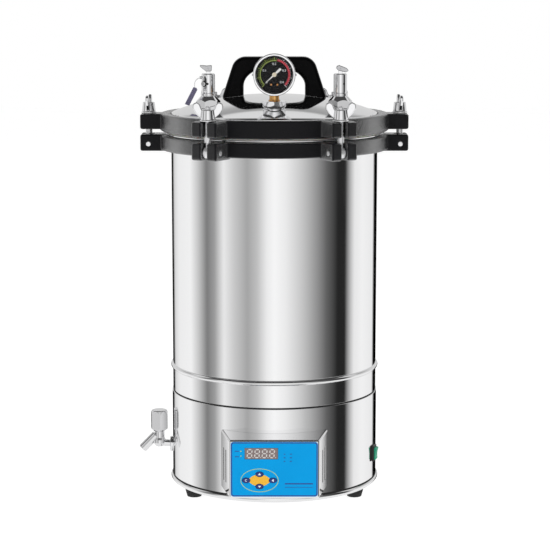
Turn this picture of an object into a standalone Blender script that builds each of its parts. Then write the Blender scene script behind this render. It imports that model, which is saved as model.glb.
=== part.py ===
"""Portable steam autoclave with a bolted lid, modelled as separate pieces.

Metres, +Z up. The origin is on the vessel's axis at floor level. The control
panel faces -Y, the drain tap is on the -X side and the rocker switch on +X.
Shells and rings are turned about Z, so their profiles are (radius, height).
"""

import math

import bmesh
import bpy
from mathutils import Matrix, Vector

# ---------------------------------------------------------------- driving sizes
GAP = 0.0003                # clearance left between touching pieces
ROUND = 36                  # facets round the large shells
FINE = 18                   # facets round valve and tap pieces
GAUGE_FACETS = 24
COARSE = 12                 # facets round fasteners

# vessel and base shells
BARREL_R = 0.152
CHAMBER_R = 0.150
CHAMBER_FLOOR = 0.181
FLOOR_THICKNESS = 0.004
RIM_R = 0.160
RIM_BOTTOM = 0.533
RIM_TOP = 0.5357
BEAD_Z = 0.188              # middle height of the rolled bead
BEAD_R = 0.155
BEAD_HALF = 0.0032
SKIRT_BOTTOM = 0.1522
SPIGOT_R = 0.1513
SPIGOT_BOTTOM = 0.140
SKIRT_INNER_R = 0.1497
JACKET_R = 0.1532
JACKET_INNER_R = 0.1518
JACKET_TOP = 0.1503
JACKET_BOTTOM = 0.0133
BASE_RIM_R = 0.156
BASE_PLATE_R = 0.1513
BASE_PLATE_TOP = 0.0150
FOOT_RING_R = 0.137
FOOT_TOP_R = 0.0135
FOOT_BOTTOM_R = 0.0105
FOOT_TOP = 0.0130

# flanges and lid
FLANGE_R = 0.1675
LOWER_FLANGE_Z = (0.511, 0.5325)
LOWER_FLANGE_BORE = 0.1524
UPPER_FLANGE_Z = (0.5384, 0.5640)
UPPER_FLANGE_BORE = 0.1532
REBATE_R = 0.1606           # step under the upper flange that takes the lid rim
REBATE_TOP = 0.5400
LID_TOP = 0.5905
LID_WALL = 0.0018
LID_SHOULDER_R = 0.1488
LID_DROP = 0.0249           # fall of the dome from its crown to the shoulder
LID_CURVE = 2.35            # power of the dome's curve: flat crown, steeper edge
LID_SKIRT_R = 0.1526
LID_INNER_R = 0.1508
LID_RIM_R = 0.1603
LID_RIM_Z = (0.5379, 0.5396)
GASKET_R = (0.1509, 0.1598)
GASKET_Z = (0.5360, 0.5376)

# clamps: six swing bolts in slotted lugs
CLAMP_COUNT = 6
PIN_RING_R = 0.185
PIN_Z = 0.519
PIN_R = 0.0035
PIN_LENGTH = 0.042
LUG_ROOT = 0.158
LUG_FACE = 0.197
LUG_WIDTH = 0.041
LUG_SLOT = 0.0105
LOWER_LUG_Z = (0.5085, 0.5330)
LOWER_SLOT_END = 0.1767
UPPER_LUG_Z = (0.5405, 0.5632)
UPPER_SLOT_CENTRE = 0.1848
EYE_R = 0.00775
EYE_WIDTH = 0.0085
EYE_HOLE_R = 0.0040
NECK_R = 0.0034
COLLAR_R = 0.0049
COLLAR_Z = (0.014, 0.024)   # above the pin axis, like the four below
THREAD_R = 0.0040
BOLT_TOP = 0.065
WASHER_Z = (0.0445, 0.0460)
NUT_Z = (0.0463, 0.0603)
WASHER_R = 0.01125
NUT_BORE_R = 0.0046
NUT_HUB_R = 0.0100
NUT_HUB_TOP_R = 0.0085
WING_TIP = 0.0220
WING_TOP = 0.0250           # above the nut's seat
WING_THICKNESS = 0.0050
NUT_SPINS = (4, 25, -35, -4, 30, -30)   # how far each nut is turned from the rim's tangent

# lid fittings
FITTING_RING_R = 0.110
STUB_R = 0.0048
STUB_HOLE_R = 0.0053
STUB_BOTTOM = 0.5665
VALVE_ANGLE = 60.0          # degrees from the front
GAUGE_Z = 0.6255
GAUGE_R = 0.0300
GAUGE_DEPTH = 0.0250
GAUGE_NUT_R = 0.0190
GAUGE_NUT_EDGE = 0.5835     # where the nut starts to taper down to its seat
GAUGE_NUT_SEAT = 0.5770
GAUGE_NUT_SEAT_R = 0.0125
GAUGE_NUT_TOP = 0.5880
GAUGE_STEM_R = 0.0085
DIAL_R = 0.0262
DIAL_DEPTH = 0.0065         # from the bezel's face back to the dial
HEX_R = 0.0180
HEX_EDGE = 0.5835           # where the hexagon's conical top starts
HEX_TOP = 0.5915
HEX_TOP_R = 0.0108
COLLAR_TOP = 0.5960
VALVE_R = 0.0097
VALVE_TOP = 0.6240
OUTLET_Z = 0.6095
LEVER_Z = 0.6310
HANDLE_TOP = 0.6460
HANDLE_THICKNESS = 0.0270

# control box, on the front of the base
PANEL_Y = -0.1844           # outer face of the box's front plate
BOX_FRONT = (0.064, 0.0280, 0.1128)     # half width, bottom, top
BOX_REAR = (0.077, 0.0310, 0.1170)
BOX_REAR_Y = -0.132
BOX_WALL = 0.0012
OVERLAY_THICKNESS = 0.0008
OVERLAY_SIZE = (0.124, 0.080)
OVERLAY_CENTRE_Z = 0.071
OVERLAY_CORNER = 0.004
DISPLAY_SIZE = (0.0470, 0.0160)
DISPLAY_CENTRE = (-0.0184, 0.0940)
KEYPAD_CENTRE = (-0.0210, 0.0550)
KEY_SPACING = (0.0190, 0.0090)
KEY_RADII = (0.0054, 0.0038)
KEY_FRONT = -0.1862
KEY_BACK = -0.1760

# drain tap, rocker switch and power gland
TAP_X = -0.1738
TAP_Z = 0.0625
TAP_PIPE_R = 0.0052
TAP_FLANGE_R = 0.0115
TAP_SHANK_R = 0.0080
TAP_STEM_R = 0.00725
TAP_STEM_TOP = 0.0822
SPOUT_R = 0.0068
SPOUT_START = (-0.1800, 0.0772)
SPOUT_TIP = (-0.1994, 0.0553)
DRAIN_X = -0.110
KNOB_Z = (0.0825, 0.1150)
KNOB_R = 0.0138
SWITCH_ANGLE = -16.0        # degrees from +X
SWITCH_Z = 0.0590
SWITCH_FACE = (0.0175, 0.0236)
SWITCH_BODY = (0.0152, 0.0214)
ROCKER_SIZE = (0.0128, 0.0184)
ROCKER_TILT = 5.0
GLAND_Z = 0.045
GLAND_TIP = 0.1862

# inside the chamber
HEATER_R = 0.100
HEATER_Z = 0.193
HEATER_TUBE_R = 0.0045
HEATER_LEG_ANGLE = 12.0
HEATER_LEG_BOTTOM = 0.160
GRID_R = 0.146
GRID_Z = (0.2000, 0.2020)
BUCKET_R = 0.138
BUCKET_WALL = 0.0012
BUCKET_Z = (0.2025, 0.5000)
BAIL_R = 0.145
BAIL_WIRE_R = 0.0025
BAIL_Z = 0.485

# finishes: colour, roughness, metallic
FINISHES = {
    "mirror_steel": ((0.78, 0.78, 0.79), 0.08, 1.0),
    "satin_steel": ((0.62, 0.62, 0.63), 0.35, 1.0),
    "chrome": ((0.80, 0.80, 0.81), 0.10, 1.0),
    "brass": ((0.78, 0.57, 0.27), 0.25, 1.0),
    "black_enamel": ((0.012, 0.012, 0.014), 0.35, 0.0),
    "black_phenolic": ((0.008, 0.008, 0.009), 0.28, 0.0),
    "black_rubber": ((0.015, 0.015, 0.015), 0.75, 0.0),
    "silicone": ((0.70, 0.68, 0.64), 0.55, 0.0),
    "blue_film": ((0.0, 0.28, 0.72), 0.35, 0.0),
    "navy_key": ((0.005, 0.02, 0.12), 0.30, 0.0),
    "smoked_display": ((0.10, 0.075, 0.08), 0.25, 0.0),
    "white_enamel": ((0.85, 0.85, 0.83), 0.40, 0.0),
    "clear_glass": ((0.90, 0.92, 0.92), 0.03, 0.0),
    "grey_tag": ((0.14, 0.13, 0.17), 0.50, 0.0),
    "green_rocker": ((0.0, 0.30, 0.10), 0.25, 0.0),
    "black_plastic": ((0.012, 0.012, 0.012), 0.40, 0.0),
}


# ---------------------------------------------------------------- helpers
def clear_scene():
    for obj in list(bpy.data.objects):
        bpy.data.objects.remove(obj, do_unlink=True)


def new_collection(name):
    collection = bpy.data.collections.new(name)
    bpy.context.scene.collection.children.link(collection)
    return collection


def finish(name):
    """The material called name, made the first time it is asked for."""
    found = bpy.data.materials.get(name)
    if found:
        return found
    colour, roughness, metallic = FINISHES[name]
    made = bpy.data.materials.new(name)
    made.use_nodes = True
    shader = made.node_tree.nodes["Principled BSDF"]
    shader.inputs["Base Color"].default_value = (*colour, 1.0)
    shader.inputs["Roughness"].default_value = roughness
    shader.inputs["Metallic"].default_value = metallic
    return made


def add_object(name, mesh, look):
    obj = bpy.data.objects.new(name, mesh)
    if look:
        mesh.materials.clear()
        mesh.materials.append(finish(look))
        PARTS.objects.link(obj)
    else:
        obj.display_type = "WIRE"
        obj.hide_render = True
        CUTTERS.objects.link(obj)
    return obj


def turned(name, profile, look=None, steps=ROUND, closed=True):
    """Turn (radius, height) points about Z. The profile runs down its outer side."""
    mesh = bpy.data.meshes.new(name)
    edges = [(i, i + 1) for i in range(len(profile) - 1)]
    if closed:
        edges.append((len(profile) - 1, 0))
    mesh.from_pydata([(radius, 0, height) for radius, height in profile], edges, [])
    obj = add_object(name, mesh, look)
    screw = obj.modifiers.new("Turn", "SCREW")
    screw.steps = steps
    screw.render_steps = steps
    screw.use_merge_vertices = True
    screw.merge_threshold = 0.00001
    return obj


def box(name, low, high, look=None):
    """A box between two corners."""
    shape = bmesh.new()
    bmesh.ops.create_cube(shape, size=1.0)
    low = Vector(low)
    high = Vector(high)
    bmesh.ops.scale(shape, vec=high - low, verts=shape.verts)
    bmesh.ops.translate(shape, vec=(low + high) / 2, verts=shape.verts)
    return from_bmesh(name, shape, look)


def cylinder(name, start, end, radius, look=None, segments=COARSE, end_radius=None, spin=0.0):
    """A round bar, or a cone, between two points. spin turns its facets, in degrees."""
    start = Vector(start)
    axis = Vector(end) - start
    shape = bmesh.new()
    bmesh.ops.create_cone(
        shape, cap_ends=True, segments=segments, depth=axis.length,
        radius1=radius, radius2=radius if end_radius is None else end_radius,
    )
    turn = Matrix.Rotation(math.radians(spin), 4, "Z")
    aim = Vector((0, 0, 1)).rotation_difference(axis).to_matrix().to_4x4()
    place = Matrix.Translation(start + axis / 2)
    bmesh.ops.transform(shape, matrix=place @ aim @ turn, verts=shape.verts)
    return from_bmesh(name, shape, look)


def ball(name, centre, radius, look=None):
    shape = bmesh.new()
    bmesh.ops.create_uvsphere(shape, u_segments=12, v_segments=6, radius=radius)
    bmesh.ops.translate(shape, vec=centre, verts=shape.verts)
    return from_bmesh(name, shape, look)


def from_bmesh(name, shape, look):
    mesh = bpy.data.meshes.new(name)
    shape.to_mesh(mesh)
    shape.free()
    return add_object(name, mesh, look)


def arc(centre, radii, start, end, count):
    """Points along an arc, or an elliptic one; angles in degrees."""
    points = []
    for i in range(count + 1):
        angle = math.radians(start + (end - start) * i / count)
        points.append((
            centre[0] + radii[0] * math.cos(angle),
            centre[1] + radii[1] * math.sin(angle),
        ))
    return points


def meshed(curve, name, look):
    """Turn a curve's data into a closed mesh object."""
    source = bpy.data.objects.new(name + "_curve", curve)
    bpy.context.scene.collection.objects.link(source)
    bpy.context.view_layer.update()
    graph = bpy.context.evaluated_depsgraph_get()
    mesh = bpy.data.meshes.new_from_object(source.evaluated_get(graph))
    bpy.data.objects.remove(source, do_unlink=True)
    shape = bmesh.new()
    shape.from_mesh(mesh)
    bmesh.ops.remove_doubles(shape, verts=shape.verts, dist=0.00001)
    shape.to_mesh(mesh)
    shape.free()
    mesh.name = name
    return add_object(name, mesh, look)


def plate(name, outline, thickness, look=None, stand=None):
    """A flat outline given a thickness, centred on its plane; stand is a 4x4 placing."""
    curve = bpy.data.curves.new(name, "CURVE")
    curve.dimensions = "2D"
    curve.fill_mode = "BOTH"
    curve.extrude = thickness / 2
    spline = curve.splines.new("POLY")
    spline.points.add(len(outline) - 1)
    for point, (x, y) in zip(spline.points, outline):
        point.co = (x, y, 0, 1)
    spline.use_cyclic_u = True
    obj = meshed(curve, name, look)
    if stand:
        obj.data.transform(stand)
    return obj


def tube(name, points, radius, look=None):
    """A round wire or pipe through points, with filled ends."""
    curve = bpy.data.curves.new(name, "CURVE")
    curve.dimensions = "3D"
    curve.bevel_depth = radius
    curve.bevel_resolution = 2
    curve.use_fill_caps = True
    spline = curve.splines.new("POLY")
    spline.points.add(len(points) - 1)
    for point, (x, y, z) in zip(spline.points, points):
        point.co = (x, y, z, 1)
    return meshed(curve, name, look)


def combine(obj, tools, operation):
    for tool in tools:
        modifier = obj.modifiers.new(tool.name, "BOOLEAN")
        modifier.operation = operation
        modifier.solver = "EXACT"
        modifier.object = tool
    return obj


def cut(obj, *tools):
    return combine(obj, tools, "DIFFERENCE")


def join(obj, *tools):
    return combine(obj, tools, "UNION")


def turned_hexagon(name, radius, low, high, profile, place, look=None, spin=0.0):
    """A hexagonal bar on a place, with its corners turned off to a profile."""
    hexagon = cylinder(name, (0, 0, low), (0, 0, high), radius, look, 6, spin=spin)
    lathe = turned(f"{name}_turning", profile, steps=GAUGE_FACETS, closed=False)
    for tool in (hexagon, lathe):
        tool.location = place
    return combine(hexagon, [lathe], "INTERSECT")


def placed(obj, matrix):
    """Move a piece, keeping its own origin; used for cutters and moving pieces."""
    obj.matrix_world = matrix
    return obj


def finished_mesh(obj):
    """The mesh of a piece with its modifiers applied, for sharing between copies."""
    bpy.context.view_layer.update()
    graph = bpy.context.evaluated_depsgraph_get()
    mesh = bpy.data.meshes.new_from_object(obj.evaluated_get(graph))
    bpy.data.objects.remove(obj, do_unlink=True)
    return mesh


# The outline plane of a plate set upright: x stays X, y becomes Z
UPRIGHT = Matrix.Rotation(math.radians(90), 4, "X")


def lid_height(radius):
    """Height of the lid's outer surface."""
    return LID_TOP - LID_DROP * (radius / LID_SHOULDER_R) ** LID_CURVE


def clamp_frame(number):
    """Placing of a clamp: x outwards, y round the rim, origin on the pin's axis."""
    turn = Matrix.Rotation(math.tau * number / CLAMP_COUNT, 4, "Z")
    return turn @ Matrix.Translation((PIN_RING_R, 0, PIN_Z))


# ---------------------------------------------------------------- vessel and base
def make_vessel():
    inner = [
        (0, CHAMBER_FLOOR),
        (0.144, CHAMBER_FLOOR),
        (0.1484, CHAMBER_FLOOR + 0.0018),
        (CHAMBER_R, CHAMBER_FLOOR + 0.0062),
        (CHAMBER_R, RIM_TOP),
    ]
    rim = [
        (RIM_R - 0.0006, RIM_TOP),
        (RIM_R, RIM_TOP - 0.0008),
        (RIM_R, RIM_BOTTOM),
        (BARREL_R, RIM_BOTTOM),
    ]
    bead = [
        (BARREL_R, BEAD_Z + BEAD_HALF),
        (BEAD_R - 0.0006, BEAD_Z + BEAD_HALF * 0.7),
        (BEAD_R, BEAD_Z),
        (BEAD_R - 0.0006, BEAD_Z - BEAD_HALF * 0.7),
        (BARREL_R, BEAD_Z - BEAD_HALF),
    ]
    skirt = [
        (BARREL_R, SKIRT_BOTTOM),
        (SPIGOT_R, SKIRT_BOTTOM),
        (SPIGOT_R, SPIGOT_BOTTOM),
        (SKIRT_INNER_R, SPIGOT_BOTTOM),
        (SKIRT_INNER_R, CHAMBER_FLOOR - FLOOR_THICKNESS),
        (0, CHAMBER_FLOOR - FLOOR_THICKNESS),
    ]
    vessel = turned("vessel", inner + rim + bead + skirt, "mirror_steel", closed=False)
    holes = [cylinder(
        "drain_hole", (DRAIN_X, 0, 0.17), (DRAIN_X, 0, 0.19), 0.004,
    )]
    for side in (-1, 1):
        angle = math.radians(side * HEATER_LEG_ANGLE)
        x = HEATER_R * math.cos(angle)
        y = HEATER_R * math.sin(angle)
        holes.append(cylinder(f"heater_hole_{side}", (x, y, 0.17), (x, y, 0.19), 0.0054))
    cut(vessel, *holes)


def make_base_jacket():
    profile = [
        (JACKET_R, JACKET_TOP),
        (JACKET_R, 0.0218),
        (BASE_RIM_R - 0.0008, 0.0206),
        (BASE_RIM_R, 0.0178),
        (BASE_RIM_R - 0.0006, 0.0148),
        (BASE_RIM_R - 0.0022, JACKET_BOTTOM),
        (JACKET_INNER_R, JACKET_BOTTOM),
        (JACKET_INNER_R, JACKET_TOP),
    ]
    jacket = turned("base_jacket", profile, "mirror_steel")
    width, height = SWITCH_BODY
    switch_hole = box(
        "switch_hole",
        (-0.02, -width / 2 - GAP, -height / 2 - GAP),
        (0.01, width / 2 + GAP, height / 2 + GAP),
    )
    placed(switch_hole, switch_frame())
    cut(
        jacket,
        box("wiring_hole", (-0.045, -0.17, 0.045), (0.045, -0.12, 0.100)),
        cylinder("tap_hole", (-0.17, 0, TAP_Z), (-0.13, 0, TAP_Z), TAP_SHANK_R + 0.0006, segments=FINE),
        cylinder("gland_hole", (0, 0.13, GLAND_Z), (0, 0.17, GLAND_Z), 0.0068, segments=FINE),
        switch_hole,
    )


def make_base_plate():
    profile = [
        (0, BASE_PLATE_TOP),
        (BASE_PLATE_R, BASE_PLATE_TOP),
        (BASE_PLATE_R, JACKET_BOTTOM),
        (0, JACKET_BOTTOM),
    ]
    base = turned("base_plate", profile, "satin_steel", closed=False)
    vents = 8
    for i in range(vents):
        angle = math.tau * (i + 0.5) / vents
        x = 0.085 * math.cos(angle)
        y = 0.085 * math.sin(angle)
        cut(base, cylinder(f"vent_{i}", (x, y, 0.005), (x, y, 0.025), 0.007, segments=8))


def make_feet():
    profile = [
        (0, FOOT_TOP),
        (FOOT_TOP_R, FOOT_TOP),
        (FOOT_TOP_R, FOOT_TOP - 0.003),
        (FOOT_BOTTOM_R + 0.0012, 0.0010),
        (FOOT_BOTTOM_R, 0),
        (0, 0),
    ]
    for name, azimuth in (("foot_front_left", 210), ("foot_front_right", 330), ("foot_rear", 90)):
        angle = math.radians(azimuth)
        foot = turned(name, profile, "black_rubber", steps=COARSE, closed=False)
        foot.location = (FOOT_RING_R * math.cos(angle), FOOT_RING_R * math.sin(angle), 0)


# ---------------------------------------------------------------- inside the chamber
def heater_path():
    """One open loop above the floor, whose two ends turn down through it."""
    bend = 0.010
    loop = []
    steps = 22
    for i in range(steps + 1):
        angle = math.radians(HEATER_LEG_ANGLE + 6 + (348 - 2 * HEATER_LEG_ANGLE) * i / steps)
        loop.append((HEATER_R * math.cos(angle), HEATER_R * math.sin(angle), HEATER_Z))
    leg = math.radians(HEATER_LEG_ANGLE)
    down = [
        (HEATER_R * math.cos(leg), HEATER_R * math.sin(leg), HEATER_Z - bend),
        (HEATER_R * math.cos(leg + 0.03), HEATER_R * math.sin(leg + 0.03), HEATER_Z - bend * 0.3),
    ]
    start = [(down[0][0], down[0][1], HEATER_LEG_BOTTOM)] + down
    end = [(x, -y, z) for x, y, z in reversed(start)]
    return start + loop + end


def make_chamber_pieces():
    tube("heater_element", heater_path(), HEATER_TUBE_R, "satin_steel")

    grid_profile = [(0, GRID_Z[1]), (GRID_R, GRID_Z[1]), (GRID_R, GRID_Z[0]), (0, GRID_Z[0])]
    grid = turned("support_grid", grid_profile, "satin_steel", closed=False)
    for ring_r, count in ((0.045, 4), (0.088, 6)):
        for i in range(count):
            angle = math.tau * i / count
            x = ring_r * math.cos(angle)
            y = ring_r * math.sin(angle)
            cut(grid, cylinder(f"grid_hole_{count}_{i}", (x, y, 0.19), (x, y, 0.21), 0.009, segments=6))
    for i in range(3):
        angle = math.tau * (i + 0.25) / 3
        x = 0.128 * math.cos(angle)
        y = 0.128 * math.sin(angle)
        foot = (x, y, CHAMBER_FLOOR + GAP)
        join(grid, cylinder(f"grid_leg_{i}", foot, (x, y, GRID_Z[0] + 0.001), 0.005, segments=8))

    bottom, top = BUCKET_Z
    inner_r = BUCKET_R - BUCKET_WALL
    bucket_profile = [
        (0, bottom + BUCKET_WALL),
        (inner_r - 0.003, bottom + BUCKET_WALL),
        (inner_r, bottom + 0.004),
        (inner_r, top - 0.0015),
        (inner_r + 0.001, top),
        (0.1397, top),
        (0.1405, top - 0.0015),
        (0.1397, top - 0.003),
        (BUCKET_R, top - 0.003),
        (BUCKET_R, bottom + 0.003),
        (BUCKET_R - 0.003, bottom),
        (0, bottom),
    ]
    bucket = turned("bucket", bucket_profile, "satin_steel", closed=False)
    cut(bucket, cylinder("bail_hole", (-0.16, 0, BAIL_Z), (0.16, 0, BAIL_Z), BAIL_WIRE_R + 0.0010))

    bow = arc((0, 0), (BAIL_R, BAIL_R), 3, 177, 18)
    path = [(0.1335, 0, 0), (0.1420, 0, 0)]
    path += [(x, y, 0) for x, y in bow]
    path += [(-0.1420, 0, 0), (-0.1335, 0, 0)]
    bail = tube("bucket_bail", path, BAIL_WIRE_R, "satin_steel")
    bail.location = (0, 0, BAIL_Z)


# ---------------------------------------------------------------- flanges and lid
def flange_lug(name, side_outline, width):
    """A lug from its outline in the (outward, height) plane, lying on azimuth 0."""
    return plate(name, side_outline, width, stand=UPRIGHT)


def turn_about_vessel(obj, number):
    return placed(obj, Matrix.Rotation(math.tau * number / CLAMP_COUNT, 4, "Z"))


def make_lower_flange():
    low, high = LOWER_FLANGE_Z
    edge = 0.0015
    profile = [
        (FLANGE_R - edge, high),
        (FLANGE_R, high - edge),
        (FLANGE_R, low + edge),
        (FLANGE_R - edge, low),
        (LOWER_FLANGE_BORE, low),
        (LOWER_FLANGE_BORE, high),
    ]
    flange = turned("lower_flange", profile, "black_enamel")
    bottom, top = LOWER_LUG_Z
    outline = [
        (LUG_ROOT, bottom), (LUG_FACE, bottom), (LUG_FACE, top),
        (LUG_ROOT + 0.004, top), (LUG_ROOT, top - 0.003),
    ]
    half_slot = LUG_SLOT / 2
    for i in range(CLAMP_COUNT):
        lug = flange_lug(f"lower_lug_{i}", outline, LUG_WIDTH)
        join(flange, turn_about_vessel(lug, i))
    for i in range(CLAMP_COUNT):
        slot = box(f"lower_slot_{i}", (LOWER_SLOT_END, -half_slot, 0.50), (0.21, half_slot, 0.54))
        pin = (PIN_RING_R, 0, PIN_Z)
        hole = cylinder(
            f"pin_hole_{i}", (pin[0], -0.03, pin[2]), (pin[0], 0.03, pin[2]), PIN_R + 0.0005,
        )
        cut(flange, turn_about_vessel(slot, i), turn_about_vessel(hole, i))


def make_upper_flange():
    low, high = UPPER_FLANGE_Z
    profile = [
        (FLANGE_R - 0.0025, high),
        (FLANGE_R, high - 0.0025),
        (FLANGE_R, low),
        (REBATE_R, low),
        (REBATE_R, REBATE_TOP),
        (UPPER_FLANGE_BORE, REBATE_TOP),
        (UPPER_FLANGE_BORE, high),
    ]
    flange = turned("upper_flange", profile, "black_enamel")
    bottom, top = UPPER_LUG_Z
    # outboard of the bolt the top follows an arc about the pin, so the nut can swing clear
    crown_r = top - PIN_Z
    reach = LUG_FACE - PIN_RING_R
    end = math.degrees(math.acos(reach / crown_r))
    crown = arc((PIN_RING_R, PIN_Z), (crown_r, crown_r), end, 90, 3)
    root = 0.162
    outline = [(root, bottom), (LUG_FACE, bottom)]
    outline += crown + [(root, top)]
    half_slot = LUG_SLOT / 2
    slot_outline = arc((UPPER_SLOT_CENTRE, 0), (half_slot, half_slot), 90, 270, 6)
    slot_outline += [(0.21, -half_slot), (0.21, half_slot)]
    slot_height = Matrix.Translation((0, 0, (bottom + top) / 2))
    for i in range(CLAMP_COUNT):
        lug = flange_lug(f"upper_lug_{i}", outline, LUG_WIDTH)
        join(flange, turn_about_vessel(lug, i))
    for i in range(CLAMP_COUNT):
        slot = plate(f"upper_slot_{i}", slot_outline, 0.04, stand=slot_height)
        cut(flange, turn_about_vessel(slot, i))


def fitting_places():
    """Plan positions of the gauge and the two valves, and the names they go by."""
    places = {"gauge": (0, -FITTING_RING_R)}
    for name, side in (("safety", -1), ("release", 1)):
        angle = math.radians(VALVE_ANGLE) * side
        places[name] = (FITTING_RING_R * math.sin(angle), -FITTING_RING_R * math.cos(angle))
    return places


def make_lid():
    radii = [0, 0.035, 0.065, 0.090, 0.112, 0.132, LID_SHOULDER_R]
    outer = [(r, lid_height(r)) for r in radii]
    outer += [
        (0.1515, 0.5640),
        (LID_SKIRT_R, 0.5610),
        (LID_SKIRT_R, LID_RIM_Z[1]),
        (LID_RIM_R, LID_RIM_Z[1]),
        (LID_RIM_R, LID_RIM_Z[0]),
        (LID_INNER_R, LID_RIM_Z[0]),
        (LID_INNER_R, 0.5600),
        (0.1496, 0.5625),
    ]
    inner = [(r, lid_height(r) - LID_WALL) for r in reversed(radii[:-1])]
    lid = turned("lid_dome", outer + inner, "mirror_steel", closed=False)
    for name, (x, y) in fitting_places().items():
        cut(lid, cylinder(f"lid_hole_{name}", (x, y, 0.55), (x, y, 0.60), STUB_HOLE_R))

    low, high = GASKET_Z
    turned("gasket", [
        (GASKET_R[1], high), (GASKET_R[1], low), (GASKET_R[0], low), (GASKET_R[0], high),
    ], "silicone")


def dome_cutter(name):
    """A solid just proud of the lid, which shapes the foot of whatever stands on it."""
    radii = [0, 0.030, 0.055, 0.075, 0.090, 0.105, 0.120, 0.135, LID_SHOULDER_R]
    profile = [(r, lid_height(r) + GAP + 0.0003) for r in radii]
    profile += [(0.150, 0.5667), (0.150, 0.50), (0, 0.50)]
    return turned(name, profile, closed=False)


def make_lid_handle():
    foot_x = 0.0755
    corner = (0.0210, 0.0210)
    right = [(foot_x + 0.0010, 0.5700), (foot_x, 0.5890)]
    right += arc((0.0419, HANDLE_TOP - corner[1]), corner, 18, 90, 6)
    outside = right + [(-x, z) for x, z in reversed(right)]
    arch = arc((0.0120, 0.6030), (0.0330, 0.0250), 0, 90, 6)
    inside = [(0.0450, 0.5700)] + arch
    inside = [(-x, z) for x, z in inside] + list(reversed(inside))
    handle = plate("lid_handle", outside + inside, HANDLE_THICKNESS, "black_phenolic", UPRIGHT)
    cut(handle, dome_cutter("handle_foot_cutter"))


# ---------------------------------------------------------------- gauge
def gauge_frame():
    """Placing of the gauge: local z points at the viewer from the case's back."""
    x, y = fitting_places()["gauge"]
    return Matrix.Translation((x, y + GAUGE_DEPTH / 2, GAUGE_Z)) @ UPRIGHT


def make_gauge():
    x, y = fitting_places()["gauge"]
    turning = [
        (0, GAUGE_NUT_TOP + GAP),
        (GAUGE_NUT_R + GAP, GAUGE_NUT_TOP + GAP),
        (GAUGE_NUT_R + GAP, GAUGE_NUT_EDGE),
        (GAUGE_NUT_SEAT_R, GAUGE_NUT_SEAT),
        (GAUGE_NUT_SEAT_R, 0.5600),
        (0, 0.5600),
    ]
    nut = turned_hexagon(
        "gauge_nut", GAUGE_NUT_R, 0.5650, GAUGE_NUT_TOP, turning, (x, y, 0), "chrome", spin=30,
    )
    cut(nut, dome_cutter("gauge_nut_cutter"))
    join(nut, cylinder("gauge_stub", (x, y, STUB_BOTTOM), (x, y, 0.584), STUB_R))
    cut(
        nut,
        cylinder("gauge_socket", (x, y, 0.5800), (x, y, 0.60), 0.0062),
        cylinder("gauge_passage", (x, y, 0.55), (x, y, 0.581), 0.0025, segments=8),
    )

    dial_z = GAUGE_DEPTH - DIAL_DEPTH
    case_profile = [
        (0, dial_z),
        (DIAL_R, dial_z),
        (DIAL_R, GAUGE_DEPTH - 0.0008),
        (DIAL_R + 0.0010, GAUGE_DEPTH),
        (GAUGE_R - 0.0014, GAUGE_DEPTH),
        (GAUGE_R, GAUGE_DEPTH - 0.0016),
        (GAUGE_R, GAUGE_DEPTH - 0.0045),
        (GAUGE_R - 0.0010, GAUGE_DEPTH - 0.0055),
        (GAUGE_R - 0.0010, 0.0020),
        (GAUGE_R - 0.0030, 0),
        (0, 0),
    ]
    case = turned("gauge_case", case_profile, "chrome", steps=GAUGE_FACETS, closed=False)
    placed(case, gauge_frame())
    case_bottom = GAUGE_Z - GAUGE_R
    join(
        case,
        cylinder("gauge_stem", (x, y, GAUGE_NUT_TOP + GAP), (x, y, case_bottom + 0.006),
                 GAUGE_STEM_R, segments=FINE),
        cylinder("gauge_spigot", (x, y, 0.5804), (x, y, GAUGE_NUT_TOP + 0.002), 0.0055),
    )
    for side in (-1, 1):
        inner = (x + side * 0.0275, y - 0.0095, GAUGE_Z)
        outer = (x + side * 0.0316, y - 0.0095, GAUGE_Z)
        join(case, cylinder(f"gauge_screw_{side}", inner, outer, 0.0016, segments=8))

    lens_r = DIAL_R - GAP
    lens_profile = [
        (0, GAUGE_DEPTH - 0.0012), (lens_r, GAUGE_DEPTH - 0.0012),
        (lens_r, GAUGE_DEPTH - 0.0026), (0, GAUGE_DEPTH - 0.0026),
    ]
    lens = turned("gauge_lens", lens_profile, "clear_glass", steps=GAUGE_FACETS, closed=False)
    placed(lens, gauge_frame())

    tip = 0.0200
    tail = 0.0125
    outline = [
        (tip, 0.0002), (0.0030, 0.0007), (-0.0030, 0.0010), (-0.0050, 0.0016), (-tail, 0.0016),
        (-tail, -0.0016), (-0.0050, -0.0016), (-0.0030, -0.0010), (0.0030, -0.0007), (tip, -0.0002),
    ]
    aim = Matrix.Rotation(math.radians(223), 4, "Z")
    lift = Matrix.Translation((0, 0, dial_z + 0.0012))
    needle = plate("gauge_needle", outline, 0.0006, "white_enamel", lift @ aim)
    hub = cylinder("needle_hub", (0, 0, dial_z + 0.0004), (0, 0, dial_z + 0.0022), 0.0026)
    placed(hub, gauge_frame())
    placed(needle, gauge_frame())
    join(needle, hub)


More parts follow.
